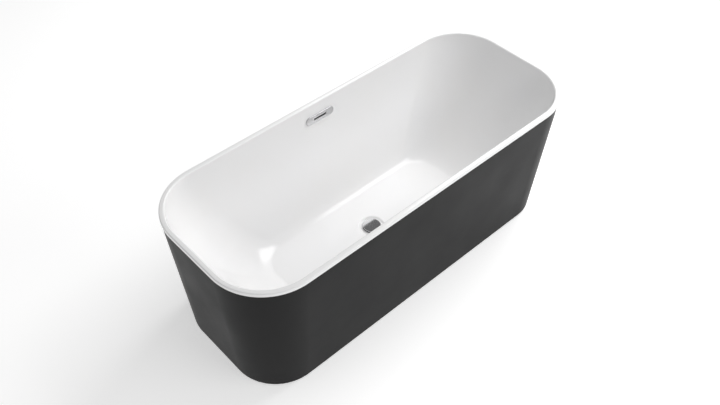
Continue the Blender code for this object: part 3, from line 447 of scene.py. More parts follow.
class BATHTUB_OT_apron(bpy.types.Operator):
    """Add the dark outer shell, which leans in towards its base"""

    bl_idname = "bathtub.apron"
    bl_label = "Outer shell"

    def execute(self, context):
        sizes = context.scene.bathtub_sizes
        top, bottom = APRON_HIGH.z, APRON_LOW.z
        wall, flange = 0.004, 0.0145
        edge = 0.0008
        shoulder = edge * SHOULDER

        def ring(height, inset):
            share = (top - height) / top
            half_x = APRON_HIGH.x * (1 - share) + (sizes.length / 2 - sizes.base_inset_x) * share
            half_y = APRON_HIGH.y * (1 - share) + (sizes.width / 2 - sizes.base_inset_y) * share
            rim_radius = sizes.rim_radius - (sizes.length / 2 - APRON_HIGH.x)
            radius = rim_radius * (1 - share) + sizes.base_radius * share
            return half_x - inset, half_y - inset, radius - inset, height

        shell = skin(
            "outer_shell",
            [
                ring(top, edge),
                ring(top - shoulder, shoulder),
                ring(top - edge, 0),
                ring(bottom + edge, 0),
                ring(bottom + shoulder, shoulder),
                ring(bottom, edge),
                ring(bottom, wall),
                ring(top - wall, wall),
                ring(top - wall, flange),
                ring(top, flange),
            ],
            closed=True,
        )
        smooth(shell)
        finish_piece(shell, "outer_shell", "tub", "apron")
        return {"FINISHED"}


# --- chrome ---
class BATHTUB_OT_waste_cap(bpy.types.Operator):
    """Add the round push cap of the waste"""

    bl_idname = "bathtub.waste_cap"
    bl_label = "Waste cap"

    def execute(self, context):
        radius, centre = CAP_HIGH.x, 0.004
        edge, under_edge = 0.0012, 0.0005
        profile = [(centre, CAP_HIGH.z)]
        for step in range(ROUND_STEPS + 1):
            angle = math.pi / 2 * step / ROUND_STEPS
            inset = edge * (1 - math.sin(angle))
            profile.append((radius - inset, CAP_HIGH.z - edge * (1 - math.cos(angle))))
        profile.append((radius, CAP_LOW.z + under_edge))
        profile.append((radius - under_edge, CAP_LOW.z))
        profile.append((centre, CAP_LOW.z))
        cap = smooth(turned("waste_cap", profile, capped=True))
        finish_piece(cap, "chrome", "drain_plug", "drain_cap")
        return {"FINISHED"}


class BATHTUB_OT_waste_flange(bpy.types.Operator):
    """Add the waste's lip and throat, with the four ribs and the hub that hold its latch"""

    bl_idname = "bathtub.waste_flange"
    bl_label = "Waste flange"

    def execute(self, context):
        lip_radius, lip_top = FLANGE_HIGH.x, FLANGE_HIGH.z
        lip, edge = 0.0018, 0.0008
        shoulder = edge * SHOULDER
        throat, throat_wall = 0.027, 0.0025
        bottom = FLANGE_LOW.z
        bore, mouth = throat - throat_wall, 0.0010
        profile = [
            (lip_radius - edge, lip_top),
            (lip_radius - shoulder, lip_top - shoulder),
            (lip_radius, lip_top - edge),
            (lip_radius, lip_top - lip),
            (throat, lip_top - lip),
            (throat, bottom),
            (bore, bottom),
            (bore, lip_top - mouth),
            (bore + mouth * SHOULDER, lip_top - mouth * SHOULDER),
            (bore + mouth, lip_top),
        ]
        flange = turned("waste_flange", profile, closed=True)
        rib, rib_edge, rib_sink = 0.0025, 0.0004, 0.0005
        rib_low, rib_high = bottom + 0.002, bottom + 0.010
        hub_outer, hub_inner, hub_top = 0.0105, 0.0083, bottom + 0.016
        profile = [
            (hub_outer, hub_top),
            (hub_outer, rib_low),
            (hub_inner, rib_low),
            (hub_inner, hub_top),
        ]
        hub = turned("hub", profile, closed=True)
        low = (hub_outer - rib_sink, -rib / 2, rib_low)
        high = (bore + rib_sink, rib / 2, rib_high)
        ribs = fan("rib", low, high, rib_edge, 4, Vector())
        flange = smooth(merge_pieces("waste_flange", [flange, hub, *ribs]))
        finish_piece(flange, "chrome", "tub", "drain_flange")
        return {"FINISHED"}


class BATHTUB_OT_overflow_plate(bpy.types.Operator):
    """Add the slim overflow cover with its slot"""

    bl_idname = "bathtub.overflow_plate"
    bl_label = "Overflow cover"

    def execute(self, context):
        length, height, thick = 0.145, 0.037, 0.0045
        slot_length, slot_height = 0.066, 0.008
        edge, slot_edge = 0.0012, 0.0005
        seat = 0.0006
        rings = [pill_ring(slot_length, slot_height, 0)]
        for share, drop in ((0, 1), (SHOULDER, SHOULDER), (1, 0)):
            wider = 2 * slot_edge * share
            depth = thick - slot_edge * drop
            rings.append(pill_ring(slot_length + wider, slot_height + wider, depth))
        for step in range(ROUND_STEPS + 1):
            angle = math.pi / 2 * step / ROUND_STEPS
            inset = 2 * edge * (1 - math.sin(angle))
            depth = thick - edge * (1 - math.cos(angle))
            rings.append(pill_ring(length - inset, height - inset, depth))
        rings.append(pill_ring(length, height, 0))
        plate = skin("overflow_cover", rings, closed=True)
        length, height, wall = 0.0754, 0.0194, 0.004
        top, bottom = 0.0002, -0.0091
        rings = [
            pill_ring(length, height, top),
            pill_ring(length, height, bottom),
            pill_ring(length - wall, height - wall, bottom),
            pill_ring(length - wall, height - wall, top),
        ]
        collar = skin("collar", rings, closed=True)
        plate = smooth(merge_pieces("overflow_cover", [plate, collar]))
        sizes = context.scene.bathtub_sizes
        place(plate, overflow_place(sizes) @ Matrix.Translation((0, -seat, 0)) @ UPRIGHT)
        finish_piece(plate, "chrome", "tub", "overflow_plate")
        return {"FINISHED"}


# --- fittings ---
SLOTS = {row["node"]: row["material_slot"] for row in frame["record"]["subparts"]}
BODIES = {
    node: body for body, nodes in frame["record"]["behaviour"]["bodies"].items() for node in nodes
}
CORNERS = ("front_left", "front_right", "back_left", "back_right")
# Width of the round edges on the refined copies, by how a node's name starts.
EDGES = {
    0.0: ("rim_adhesive", "overflow_hose"),
    0.0003: ("board_screw", "cap_stem", "latch", "drain_gasket", "overflow_gasket", "hose_clip"),
    0.0004: ("cap_seal", "trap_seal"),
    0.0005: ("foot_sleeve", "drain_body", "overflow_body"),
    0.0006: ("foot_pad", "foot_nut", "end_strap", "apron_bracket", "trap_body"),
    0.0007: ("frame_rail", "cross_member"),
    0.0008: ("base_board", "trap_cup", "union_nut"),
}

# The stud: a round end in the pad, a hexagon for a spanner and a threaded shank.
STUD_SIDES = 48
STUD_END, STUD_END_EDGE, STUD_END_LAP = 0.0075, 0.0008, 0.001
HEX_RADIUS, HEX_LOW, HEX_HIGH = 0.01097, 0.0163, 0.0223
HEX_BITE, HEX_CHAMFER = 0.0008, 0.0006
STUD_CORE, STUD_CREST, STUD_PITCH = 0.0053, 0.0060, 0.00175
STUD_TIP, STUD_TIP_BITE = 0.0012, 0.0010
THREAD_SINK, THREAD_MARGIN, THREAD_STEPS = 0.0001, 0.0015, 20

PAD_RIB_LOW, PAD_RIB_HIGH = (0.0135, -0.0009, 0.007), (0.0225, 0.0009, 0.0112)
PAD_RIB_COUNT, GRIP_COUNT = 8, 24
GRIP_HALF_DEPTH, GRIP_HALF_WIDTH, GRIP_BOTTOM, GRIP_TOP = 0.0010, 0.0012, 0.006, 0.003
RIB_EDGE = 0.0005

PLUG_LENGTH, PLUG_EDGE = 0.0025, 0.0012
RECESS_LONG, RECESS_WIDE, RECESS_DEEP, RECESS_PAST = 0.0030, 0.0005, 0.0016, 0.001
RECESS_EDGE = 0.0001

# The worm-drive clips: a housing on the band, and the screw's head at one end of it.
HOUSING_HALF, HOUSING_SINK, HOUSING_RISE, HOUSING_EDGE = 0.006, 0.001, 0.005, 0.001
HOUSING_PAST, HOUSING_INSET = 0.0005, 0.0008
HEAD_PROFILE = ((0.0030, 0.006), (0.0034, 0.0065), (0.0034, 0.0090))
HEAD_SIDES, HEAD_RISE = 24, 0.002


def refined(node):
    """A merged copy of a frame node, with small round edges and smooth shading."""
    take(frame["nodes"][node])
    bpy.ops.object.duplicate()
    obj = bpy.context.object
    obj.name = obj.data.name = f"{node}_piece"
    for key in [key for key in obj.keys() if key.startswith("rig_")]:
        del obj[key]
    take(obj)
    bpy.ops.object.mode_set(mode="EDIT")
    bpy.ops.mesh.select_all(action="SELECT")
    bpy.ops.mesh.remove_doubles(threshold=COPY_MERGE_DISTANCE)
    bpy.ops.mesh.dissolve_limited(angle_limit=math.radians(1))
    bpy.ops.object.mode_set(mode="OBJECT")
    edge = next(width for width, starts in EDGES.items() if node.startswith(starts))
    if edge:
        round_edges(obj, edge)
    return smooth(obj, angle=40)


def refine(node, *extras):
    """Puts a refined copy, joined to any extra pieces, in the place of a frame node."""
    obj = merge_pieces(f"{node}_piece", [refined(node), *extras])
    finish_piece(obj, SLOTS[node], BODIES[node], node)


def thread(low, high):
    """The stud's helical ridge about the vertical axis."""
    depth = STUD_CREST - STUD_CORE + THREAD_SINK
    deselect_all()
    bpy.ops.mesh.primitive_circle_add(
        vertices=4,
        radius=depth,
        location=(STUD_CREST - depth, 0, low),
        rotation=(math.pi / 2, 0, 0),
    )
    obj = bpy.context.object
    obj.name = obj.data.name = "stud_thread"
    bpy.ops.object.transform_apply(location=True, rotation=True, scale=True)
    screw = obj.modifiers.new("helix", "SCREW")
    screw.axis = "Z"
    screw.screw_offset = STUD_PITCH
    screw.iterations = int((high - low) / STUD_PITCH)
    screw.steps = screw.render_steps = THREAD_STEPS
    screw.use_merge_vertices = False
    screw.use_normal_calculate = True
    return apply_modifiers(obj)


def make_stud(name, low, high):
    """An upright stud round the origin, from one height to another."""
    profile = [
        (STUD_END - STUD_END_EDGE, low),
        (STUD_END, low + STUD_END_EDGE),
        (STUD_END, HEX_LOW + STUD_END_LAP),
    ]
    end = turned("stud_end", profile, STUD_SIDES, capped=True)
    profile = [
        (STUD_CORE, HEX_LOW),
        (STUD_CORE, high - STUD_TIP),
        (STUD_CORE - STUD_TIP_BITE, high),
    ]
    core = turned("stud_core", profile, STUD_SIDES, capped=True)
    profile = [
        (HEX_RADIUS - HEX_BITE, HEX_LOW),
        (HEX_RADIUS, HEX_LOW + HEX_CHAMFER),
        (HEX_RADIUS, HEX_HIGH - HEX_CHAMFER),
        (HEX_RADIUS - HEX_BITE, HEX_HIGH),
    ]
    hexagon = turned("stud_hexagon", profile, 6, capped=True)
    place(hexagon, Matrix.Rotation(math.pi / 6, 4, "Z"))
    ridge = thread(HEX_HIGH + THREAD_MARGIN, high - THREAD_MARGIN)
    return smooth(merge_pieces(name, [end, core, hexagon, ridge]))


def make_clip_screw(low, high, middle, turn):
    """A clip's housing between two corners, and its screw head at a place and a turn."""
    housing = block("housing", low, high, HOUSING_EDGE)
    head = turned("head", HEAD_PROFILE, HEAD_SIDES, capped=True)
    return housing, place(head, Matrix.Translation(middle) @ turn)


def middle_of(node):
    """The middle of a node's box, seen from above."""
    low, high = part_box(node)
    return Vector(((low.x + high.x) / 2, (low.y + high.y) / 2, 0))


class BATHTUB_OT_feet(bpy.types.Operator):
    """Add the four screw feet: pad, threaded stud, lock nut and threaded sleeve"""

    bl_idname = "bathtub.feet"
    bl_label = "Screw feet"

    def execute(self, context):
        for corner in CORNERS:
            pad, stud = f"foot_pad_{corner}", f"foot_stud_{corner}"
            middle = middle_of(stud)
            ribs = fan("rib", PAD_RIB_LOW, PAD_RIB_HIGH, RIB_EDGE, PAD_RIB_COUNT, middle)
            refine(pad, *ribs)
            low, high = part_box(stud)
            made = place(make_stud(f"{stud}_piece", low.z, high.z), Matrix.Translation(middle))
            finish_piece(made, "zinc_steel", f"stud_{corner}", stud)
            refine(f"foot_nut_{corner}")
            refine(f"foot_sleeve_{corner}")
        return {"FINISHED"}


class BATHTUB_OT_frame(bpy.types.Operator):
    """Add the board, the steel frame, its end plugs and the strips that hold the outer shell"""

    bl_idname = "bathtub.frame"
    bl_label = "Board and frame"

    def execute(self, context):
        refine("base_board")
        for node, along in (
            ("frame_rail_front", 0),
            ("frame_rail_back", 0),
            ("cross_member_left", 1),
            ("cross_member_right", 1),
        ):
            refine(node)
            low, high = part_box(node)
            for name, end, outward in (("low", low, -PLUG_LENGTH), ("high", high, PLUG_LENGTH)):
                plug_low, plug_high = low.copy(), high.copy()
                plug_low[along], plug_high[along] = sorted((end[along], end[along] + outward))
                plug = block(f"{node}_plug_{name}", plug_low, plug_high, PLUG_EDGE)
                finish_piece(smooth(plug), "dark_plastic", "tub")
        for side in ("left", "right"):
            refine(f"end_strap_{side}")
        for corner in CORNERS:
            refine(f"apron_bracket_{corner}")
            screw = f"board_screw_{corner}"
            middle, low = middle_of(screw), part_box(screw)[0].z
            made = refined(screw)
            for half_x, half_y in ((RECESS_LONG, RECESS_WIDE), (RECESS_WIDE, RECESS_LONG)):
                bit_low = middle + Vector((-half_x, -half_y, low - RECESS_PAST))
                bit_high = middle + Vector((half_x, half_y, low + RECESS_DEEP))
                subtract(made, block("recess", bit_low, bit_high, RECESS_EDGE))
            finish_piece(made, "zinc_steel", "tub", screw)
        refine("rim_adhesive")
        return {"FINISHED"}


class BATHTUB_OT_waste(bpy.types.Operator):
    """Add the waste's seals, stem, latch cartridge and body under the floor"""

    bl_idname = "bathtub.waste"
    bl_label = "Waste"

    def execute(self, context):
        for node in ("cap_seal", "cap_stem", "latch_cartridge", "drain_body"):
            refine(node)
        for side in ("top", "bottom"):
            refine(f"drain_gasket_{side}")
        return {"FINISHED"}


class BATHTUB_OT_trap(bpy.types.Operator):
    """Add the trap with its union nut and its ribbed cup"""

    bl_idname = "bathtub.trap"
    bl_label = "Trap"

    def execute(self, context):
        refine("trap_body")
        refine("trap_seal")
        low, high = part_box("trap_cup")
        radius = (high.y - low.y) / 2
        rib_low = (radius - GRIP_HALF_DEPTH, -GRIP_HALF_WIDTH, low.z + GRIP_BOTTOM)
        rib_high = (radius + GRIP_HALF_DEPTH, GRIP_HALF_WIDTH, high.z - GRIP_TOP)
        ribs = fan("grip", rib_low, rib_high, RIB_EDGE, GRIP_COUNT, middle_of("trap_cup"))
        refine("trap_cup", *ribs)
        refine("union_nut")
        return {"FINISHED"}


class BATHTUB_OT_overflow(bpy.types.Operator):
    """Add the overflow's chamber and gasket, its hose and the two worm-drive clips"""

    bl_idname = "bathtub.overflow"
    bl_label = "Overflow"

    def execute(self, context):
        for node in ("overflow_body", "overflow_gasket", "overflow_hose"):
            refine(node)
        low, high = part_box("hose_clip_bottom")
        screw = make_clip_screw(
            (-HOUSING_HALF, low.y - HOUSING_PAST, high.z - HOUSING_SINK),
            (HOUSING_HALF, high.y + HOUSING_PAST, high.z + HOUSING_RISE),
            (0, (low.y + high.y) / 2, high.z + HEAD_RISE),
            Matrix.Rotation(math.pi / 2, 4, "Y"),
        )
        refine("hose_clip_bottom", *screw)
        low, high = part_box("hose_clip_top")
        middle = (low + high) / 2
        screw = make_clip_screw(
            (high.x - HOUSING_SINK, middle.y - HOUSING_HALF, low.z + HOUSING_INSET),
            (high.x + HOUSING_RISE, middle.y + HOUSING_HALF, high.z - HOUSING_INSET),
            (high.x + HEAD_RISE, middle.y, middle.z),
            UPRIGHT,
        )
        refine("hose_clip_top", *screw)
        return {"FINISHED"}


# --- finishes ---
def new_group(name, setting, default, output):
    """A node group with a vector, one setting and one output, and its input and output nodes."""
    group = bpy.data.node_groups.new(name, "ShaderNodeTree")
    group.interface.new_socket("Vector", in_out="INPUT", socket_type="NodeSocketVector")
    socket = group.interface.new_socket(setting, in_out="INPUT", socket_type="NodeSocketFloat")
    socket.default_value = default
    group.interface.new_socket(output, in_out="OUTPUT", socket_type="NodeSocketFloat")
    return group, group.nodes.new("NodeGroupInput"), group.nodes.new("NodeGroupOutput")


NOISE_ROUGHNESS = 0.55
HAIRLINE_TURNS = (0.2, 1.3, 2.4)
HAIRLINE_STRETCH = (9.0, 420.0, 420.0)
HAIRLINE_WIDTH = 0.012
FLOW_STRETCH = (14.0, 14.0, 60.0)
FLAKE_STRETCH, FLAKE_TURN = (1.0, 0.45, 1.0), (0.0, 0.0, 0.4)
FRAME_DUST, PLASTIC_DUST = (0.20, 0.19, 0.17), (0.34, 0.32, 0.29)
BARE_STEEL = (0.36, 0.35, 0.34)


def noise(tree, vector, scale, detail=4.0):
    """A noise texture fed by a vector socket. scale is a number or a socket."""
    node = tree.nodes.new("ShaderNodeTexNoise")
    node.inputs["Detail"].default_value = detail
    node.inputs["Roughness"].default_value = NOISE_ROUGHNESS
    tree.links.new(vector, node.inputs["Vector"])
    feed(tree, node.inputs["Scale"], scale)
    return node.outputs["Fac"]


def feed(tree, socket, value):
    """Sets a socket to a number, or links another socket to it."""
    if isinstance(value, bpy.types.NodeSocket):
        tree.links.new(value, socket)
    else:
        socket.default_value = value


def math_node(tree, operation, first, second=0.0, clamp=False):
    node = tree.nodes.new("ShaderNodeMath")
    node.operation = operation
    node.use_clamp = clamp
    feed(tree, node.inputs[0], first)
    feed(tree, node.inputs[1], second)
    return node.outputs[0]


def map_range(tree, value, from_low, from_high, to_low, to_high):
    node = tree.nodes.new("ShaderNodeMapRange")
    for index, number in enumerate((value, from_low, from_high, to_low, to_high)):
        feed(tree, node.inputs[index], number)
    return node.outputs["Result"]


def mapped(tree, vector, scale, rotation=(0, 0, 0)):
    node = tree.nodes.new("ShaderNodeMapping")
    node.inputs["Scale"].default_value = scale
    node.inputs["Rotation"].default_value = rotation
    tree.links.new(vector, node.inputs["Vector"])
    return node.outputs["Vector"]


def mix_colour(tree, share, first, second):
    node = tree.nodes.new("ShaderNodeMix")
    node.data_type = "RGBA"
    feed(tree, node.inputs["Factor"], share)
    for socket, value in ((node.inputs[6], first), (node.inputs[7], second)):
        feed(tree, socket, value if isinstance(value, bpy.types.NodeSocket) else (*value, 1.0))
    return node.outputs[2]


def make_patches_group():
    """Soft patches between 0 and 1, a few of them over each Size."""
    group, source, result = new_group("soft_patches", "Size", 0.1, "Patches")
    scale = math_node(group, "DIVIDE", 1.0, source.outputs["Size"])
    patches = noise(group, source.outputs["Vector"], scale, detail=3.0)
    group.links.new(map_range(group, patches, 0.3, 0.7, 0.0, 1.0), result.inputs["Patches"])


def make_grain_group():
    """The fine bumps of a moulded or sprayed surface, with a grain of that Size."""
    group, source, result = new_group("fine_grain", "Size", 0.001, "Height")
    scale = math_node(group, "DIVIDE", 1.0, source.outputs["Size"])
    group.links.new(noise(group, source.outputs["Vector"], scale, 2.0), result.inputs["Height"])


def make_hairlines_group():
    """Thin rubbed lines in three directions. More Amount makes more of them."""
    group, source, result = new_group("hairlines", "Amount", 0.3, "Lines")
    total = 0.0
    for turn in HAIRLINE_TURNS:
        stretched = mapped(group, source.outputs["Vector"], HAIRLINE_STRETCH, (turn, 0.3, turn))
        streak = noise(group, stretched, 1.0, detail=1.0)
        far = math_node(group, "ABSOLUTE", math_node(group, "SUBTRACT", streak, 0.5))
        line = map_range(group, far, 0.0, HAIRLINE_WIDTH, 1.0, 0.0)
        total = math_node(group, "ADD", line, total, clamp=True)
    where = noise(group, source.outputs["Vector"], 7.0, detail=2.0)
    shown = map_range(group, where, 0.45, 0.65, 0.0, 1.0)
    shown = math_node(group, "MULTIPLY", shown, source.outputs["Amount"])
    group.links.new(math_node(group, "MULTIPLY", total, shown), result.inputs["Lines"])


def make_wear_group():
    """Worn outer edges, broken up by patches. More Amount wears them further in."""
    group, source, result = new_group("edge_wear", "Amount", 0.5, "Wear")
    geometry = group.nodes.new("ShaderNodeNewGeometry")
    sharp = map_range(group, geometry.outputs["Pointiness"], 0.52, 0.60, 0.0, 1.0)
    broken = map_range(group, noise(group, source.outputs["Vector"], 90.0), 0.35, 0.65, 0.0, 1.0)
    worn = math_node(group, "MULTIPLY", sharp, broken)
    worn = math_node(group, "MULTIPLY", worn, source.outputs["Amount"], clamp=True)
    group.links.new(worn, result.inputs["Wear"])


def make_dust_group():
    """Dust that settles on faces that look up. Amount is how much of it there is."""
    group, source, result = new_group("settled_dust", "Amount", 0.4, "Dust")
    geometry = group.nodes.new("ShaderNodeNewGeometry")
    parts = group.nodes.new("ShaderNodeSeparateXYZ")
    group.links.new(geometry.outputs["Normal"], parts.inputs[0])
    upward = map_range(group, parts.outputs["Z"], 0.2, 0.95, 0.0, 1.0)
    patchy = map_range(group, noise(group, source.outputs["Vector"], 25.0), 0.3, 0.7, 0.4, 1.0)
    dust = math_node(group, "MULTIPLY", upward, patchy)
    dust = math_node(group, "MULTIPLY", dust, source.outputs["Amount"], clamp=True)
    group.links.new(dust, result.inputs["Dust"])


class Finish:
    """A material with one Principled shader, and the nodes that vary it."""

    def __init__(self, name, colour, roughness, metallic=0.0):
        # The frame brings plain materials of these names. A new one would be numbered beside them.
        plain = bpy.data.materials.get(name)
        if plain:
            bpy.data.materials.remove(plain)
        self.material = bpy.data.materials.new(name)
        self.material.use_nodes = True
        self.tree = self.material.node_tree
        self.shader = self.tree.nodes["Principled BSDF"]
        self.shader.inputs["Base Color"].default_value = (*colour, 1.0)
        self.shader.inputs["Roughness"].default_value = roughness
        self.shader.inputs["Metallic"].default_value = metallic
        self.material.diffuse_color = (*colour, 1.0)
        self.place = self.tree.nodes.new("ShaderNodeTexCoord").outputs["Object"]
        self.height = None

    def effect(self, group, value):
        """The output of a shared node group on the piece's own coordinates, with its setting."""
        node = self.tree.nodes.new("ShaderNodeGroup")
        node.node_tree = bpy.data.node_groups[group]
        self.tree.links.new(self.place, node.inputs["Vector"])
        node.inputs[1].default_value = value
        return node.outputs[0]

    def colour(self, socket):
        self.tree.links.new(socket, self.shader.inputs["Base Color"])

    def roughness(self, socket):
        self.tree.links.new(socket, self.shader.inputs["Roughness"])

    def bump(self, height, distance):
        """Adds a bump of that height in metres over the ones before it."""
        node = self.tree.nodes.new("ShaderNodeBump")
        node.inputs["Distance"].default_value = distance
        node.inputs["Strength"].default_value = 1.0
        self.tree.links.new(height, node.inputs["Height"])
        if self.height:
            self.tree.links.new(self.height, node.inputs["Normal"])
        self.height = node.outputs["Normal"]
        self.tree.links.new(self.height, self.shader.inputs["Normal"])


def shade(colour, factor):
    return tuple(min(1.0, channel * factor) for channel in colour)


def make_inner_finish(finish):
    """Gloss acrylic: soft mould waviness, a faint tone and hairlines from cleaning."""
    made = Finish("inner_shell", finish.inner, finish.inner_roughness)
    tree = made.tree
    patches = made.effect("soft_patches", 0.35)
    lines = made.effect("hairlines", 0.5)
    warm = (finish.inner[0], finish.inner[1] * 0.995, finish.inner[2] * 0.985)
    made.colour(mix_colour(tree, patches, finish.inner, warm))
    low, high = finish.inner_roughness * 0.8, finish.inner_roughness * 1.3
    rough = map_range(tree, patches, 0.0, 1.0, low, high)
    made.roughness(math_node(tree, "ADD", rough, math_node(tree, "MULTIPLY", lines, 0.12)))
    made.shader.inputs["Specular IOR Level"].default_value = 0.38
    made.bump(made.effect("soft_patches", 0.06), 0.00006)
    made.bump(made.effect("fine_grain", 0.004), 0.000006)


def make_outer_finish(finish):
    """Satin acrylic: an even fine texture, faint rubbed patches and dust near the floor."""
    made = Finish("outer_shell", finish.outer, finish.outer_roughness)
    tree = made.tree
    patches = made.effect("soft_patches", 0.25)
    made.shader.inputs["Specular IOR Level"].default_value = 0.09
    lines = made.effect("hairlines", 0.35)
    tone = mix_colour(tree, patches, shade(finish.outer, 0.95), shade(finish.outer, 1.06))
    parts = tree.nodes.new("ShaderNodeSeparateXYZ")
    tree.links.new(made.place, parts.inputs[0])
    low_down = map_range(tree, parts.outputs["Z"], 0.0, 0.06, 0.22, 0.0)
    dusty = math_node(tree, "MULTIPLY", low_down, made.effect("soft_patches", 0.02))
    made.colour(mix_colour(tree, dusty, tone, shade(finish.outer, 3.0)))
    low, high = finish.outer_roughness - 0.03, finish.outer_roughness + 0.05
    rough = map_range(tree, patches, 0.0, 1.0, low, high)
    made.roughness(math_node(tree, "SUBTRACT", rough, math_node(tree, "MULTIPLY", lines, 0.10)))
    made.bump(made.effect("fine_grain", 0.0012), 0.00003)


def make_chrome_finish(finish):
    """Polished chrome with faint smears and cleaning hairlines."""
    made = Finish("chrome", finish.chrome, 0.05, 1.0)
    tree = made.tree
    smears = made.effect("soft_patches", 0.02)
    lines = made.effect("hairlines", 0.6)
    tone = mix_colour(tree, smears, finish.chrome, shade(finish.chrome, 0.96))
    made.colour(tone)
    rough = map_range(tree, smears, 0.0, 1.0, 0.03, 0.075)
    made.roughness(math_node(tree, "ADD", rough, math_node(tree, "MULTIPLY", lines, 0.15)))
    made.bump(lines, 0.000004)


def make_zinc_finish(finish):
    """Bright zinc plate: cool and straw-coloured patches, dull spots and rubbed edges."""
    made = Finish("zinc_steel", finish.zinc, 0.35, 1.0)
    tree = made.tree
    patches = made.effect("soft_patches", 0.012)
    straw = (finish.zinc[0] * 1.05, finish.zinc[1] * 0.98, finish.zinc[2] * 0.84)
    tone = mix_colour(tree, patches, finish.zinc, straw)
    wear = made.effect("edge_wear", 0.6)
    made.colour(mix_colour(tree, wear, tone, shade(finish.zinc, 1.4)))
    fine = made.effect("fine_grain", 0.0015)
    made.roughness(map_range(tree, fine, 0.3, 0.7, 0.25, 0.48))
    made.bump(fine, 0.00003)


def make_paint_finish(finish):
    """Powder coat: orange peel, a little dust on top and bare steel showing at worn edges."""
    made = Finish("frame_paint", finish.paint, 0.5)
    tree = made.tree
    dust = made.effect("settled_dust", 0.16)
    wear = made.effect("edge_wear", 0.5)
    patches = made.effect("soft_patches", 0.05)
    tone = mix_colour(tree, patches, finish.paint, shade(finish.paint, 1.15))
    dusty = mix_colour(tree, dust, tone, FRAME_DUST)
    made.colour(mix_colour(tree, wear, dusty, BARE_STEEL))
    made.roughness(map_range(tree, dust, 0.0, 0.16, 0.42, 0.60))
    made.bump(made.effect("fine_grain", 0.0016), 0.00006)


def make_rubber_finish(finish):
    """Sealing rubber: a dull bloom in patches over a fine moulded grain."""
    made = Finish("rubber", finish.rubber, 0.75)
    tree = made.tree
    bloom = made.effect("soft_patches", 0.008)
    made.colour(mix_colour(tree, bloom, finish.rubber, shade(finish.rubber, 2.2)))
    made.roughness(map_range(tree, bloom, 0.0, 1.0, 0.62, 0.85))
    made.bump(made.effect("fine_grain", 0.0006), 0.00004)


def make_plastic_finish(slot, colour, grain):
    """Moulded plastic: flow marks, a fine eroded texture, dust on top and rubbed edges."""
    made = Finish(slot, colour, 0.45)
    tree = made.tree
    flow = noise(tree, mapped(tree, made.place, FLOW_STRETCH), 1.0, detail=3.0)
    tone = mix_colour(tree, flow, shade(colour, 0.93), shade(colour, 1.06))
    dust = made.effect("settled_dust", 0.22)
    wear = made.effect("edge_wear", 0.4)
    dusty = mix_colour(tree, dust, tone, PLASTIC_DUST)
    made.colour(mix_colour(tree, wear, dusty, shade(colour, 1.35)))
    made.roughness(map_range(tree, flow, 0.3, 0.7, 0.36, 0.52))
    made.bump(made.effect("fine_grain", grain), 0.00004)


def make_board_finish(finish):
    """Chipboard: pressed flakes from dark to pale, in soft patches, under a thin coat of resin."""
    made = Finish("board", finish.board, 0.6)
    tree = made.tree
    flakes = tree.nodes.new("ShaderNodeTexVoronoi")
    flakes.inputs["Scale"].default_value = 400.0
    flakes.inputs["Randomness"].default_value = 1.0
    warped = mapped(tree, made.place, FLAKE_STRETCH, FLAKE_TURN)
    tree.links.new(warped, flakes.inputs["Vector"])
    parts = tree.nodes.new("ShaderNodeSeparateColor")
    tree.links.new(flakes.outputs["Color"], parts.inputs[0])
    dark, pale = shade(finish.board, 0.6), shade(finish.board, 1.25)
    pressed = mix_colour(tree, parts.outputs[0], dark, pale)
    patches = made.effect("soft_patches", 0.09)
    made.colour(mix_colour(tree, patches, pressed, shade(finish.board, 0.85)))
    made.roughness(map_range(tree, parts.outputs[1], 0.0, 1.0, 0.45, 0.70))
    made.bump(parts.outputs[2], 0.00015)


def make_adhesive_finish(finish):
    """Cured adhesive: a lumpy, slightly shiny bead."""
    made = Finish("adhesive", finish.adhesive, 0.45)
    tree = made.tree
    lumps = made.effect("soft_patches", 0.006)
    made.colour(mix_colour(tree, lumps, shade(finish.adhesive, 0.88), finish.adhesive))
    made.roughness(map_range(tree, lumps, 0.0, 1.0, 0.35, 0.6))
    made.bump(lumps, 0.0004)


class BATHTUB_OT_finishes(bpy.types.Operator):
    """Make the finishes, and give every piece of the frame the one that its slot names"""

    bl_idname = "bathtub.finishes"
    bl_label = "Finishes"

    def execute(self, context):
        finish = context.scene.bathtub_finish
        for make_group in (
            make_patches_group,
            make_grain_group,
            make_hairlines_group,
            make_wear_group,
            make_dust_group,
        ):
            make_group()
        for make_finish in (
            make_inner_finish,
            make_outer_finish,
            make_chrome_finish,
            make_zinc_finish,
            make_paint_finish,
            make_rubber_finish,
            make_board_finish,
            make_adhesive_finish,
        ):
            make_finish(finish)
        make_plastic_finish("white_plastic", finish.pale_plastic, 0.0009)
        make_plastic_finish("dark_plastic", finish.dark_plastic, 0.0006)
        for subpart in frame["record"]["subparts"]:
            mesh = frame["nodes"][subpart["node"]].data
            mesh.materials.clear()
            mesh.materials.append(bpy.data.materials[subpart["material_slot"]])
        return {"FINISHED"}


# --- stage ---
SOFTBOXES = (
    ("key_softbox", (2.1, 0.1, 2.87), (2.4, 1.7), 79),
    ("fill_softbox", (1.2, -3.4, 2.6), (3.0, 1.2), 33),
)
LIGHT_AIM = (0, 0, 0.3)
FLOOR_TONES = (0.92, 0.92, 0.92), (0.90, 0.90, 0.90)
FLOOR_GLOW = 0.40
SHADY_SIDE = (0.62, 0.66, 0.42)
WHITE = (1.0, 1.0, 1.0, 1.0)
CAMERA_PLACE = (-1.6685, -1.7152, 2.7694)
CAMERA_ANGLES = (-42.99, 46.19, 0.576)  # azimuth, elevation and roll, in degrees
CAMERA_LENS = 41.86


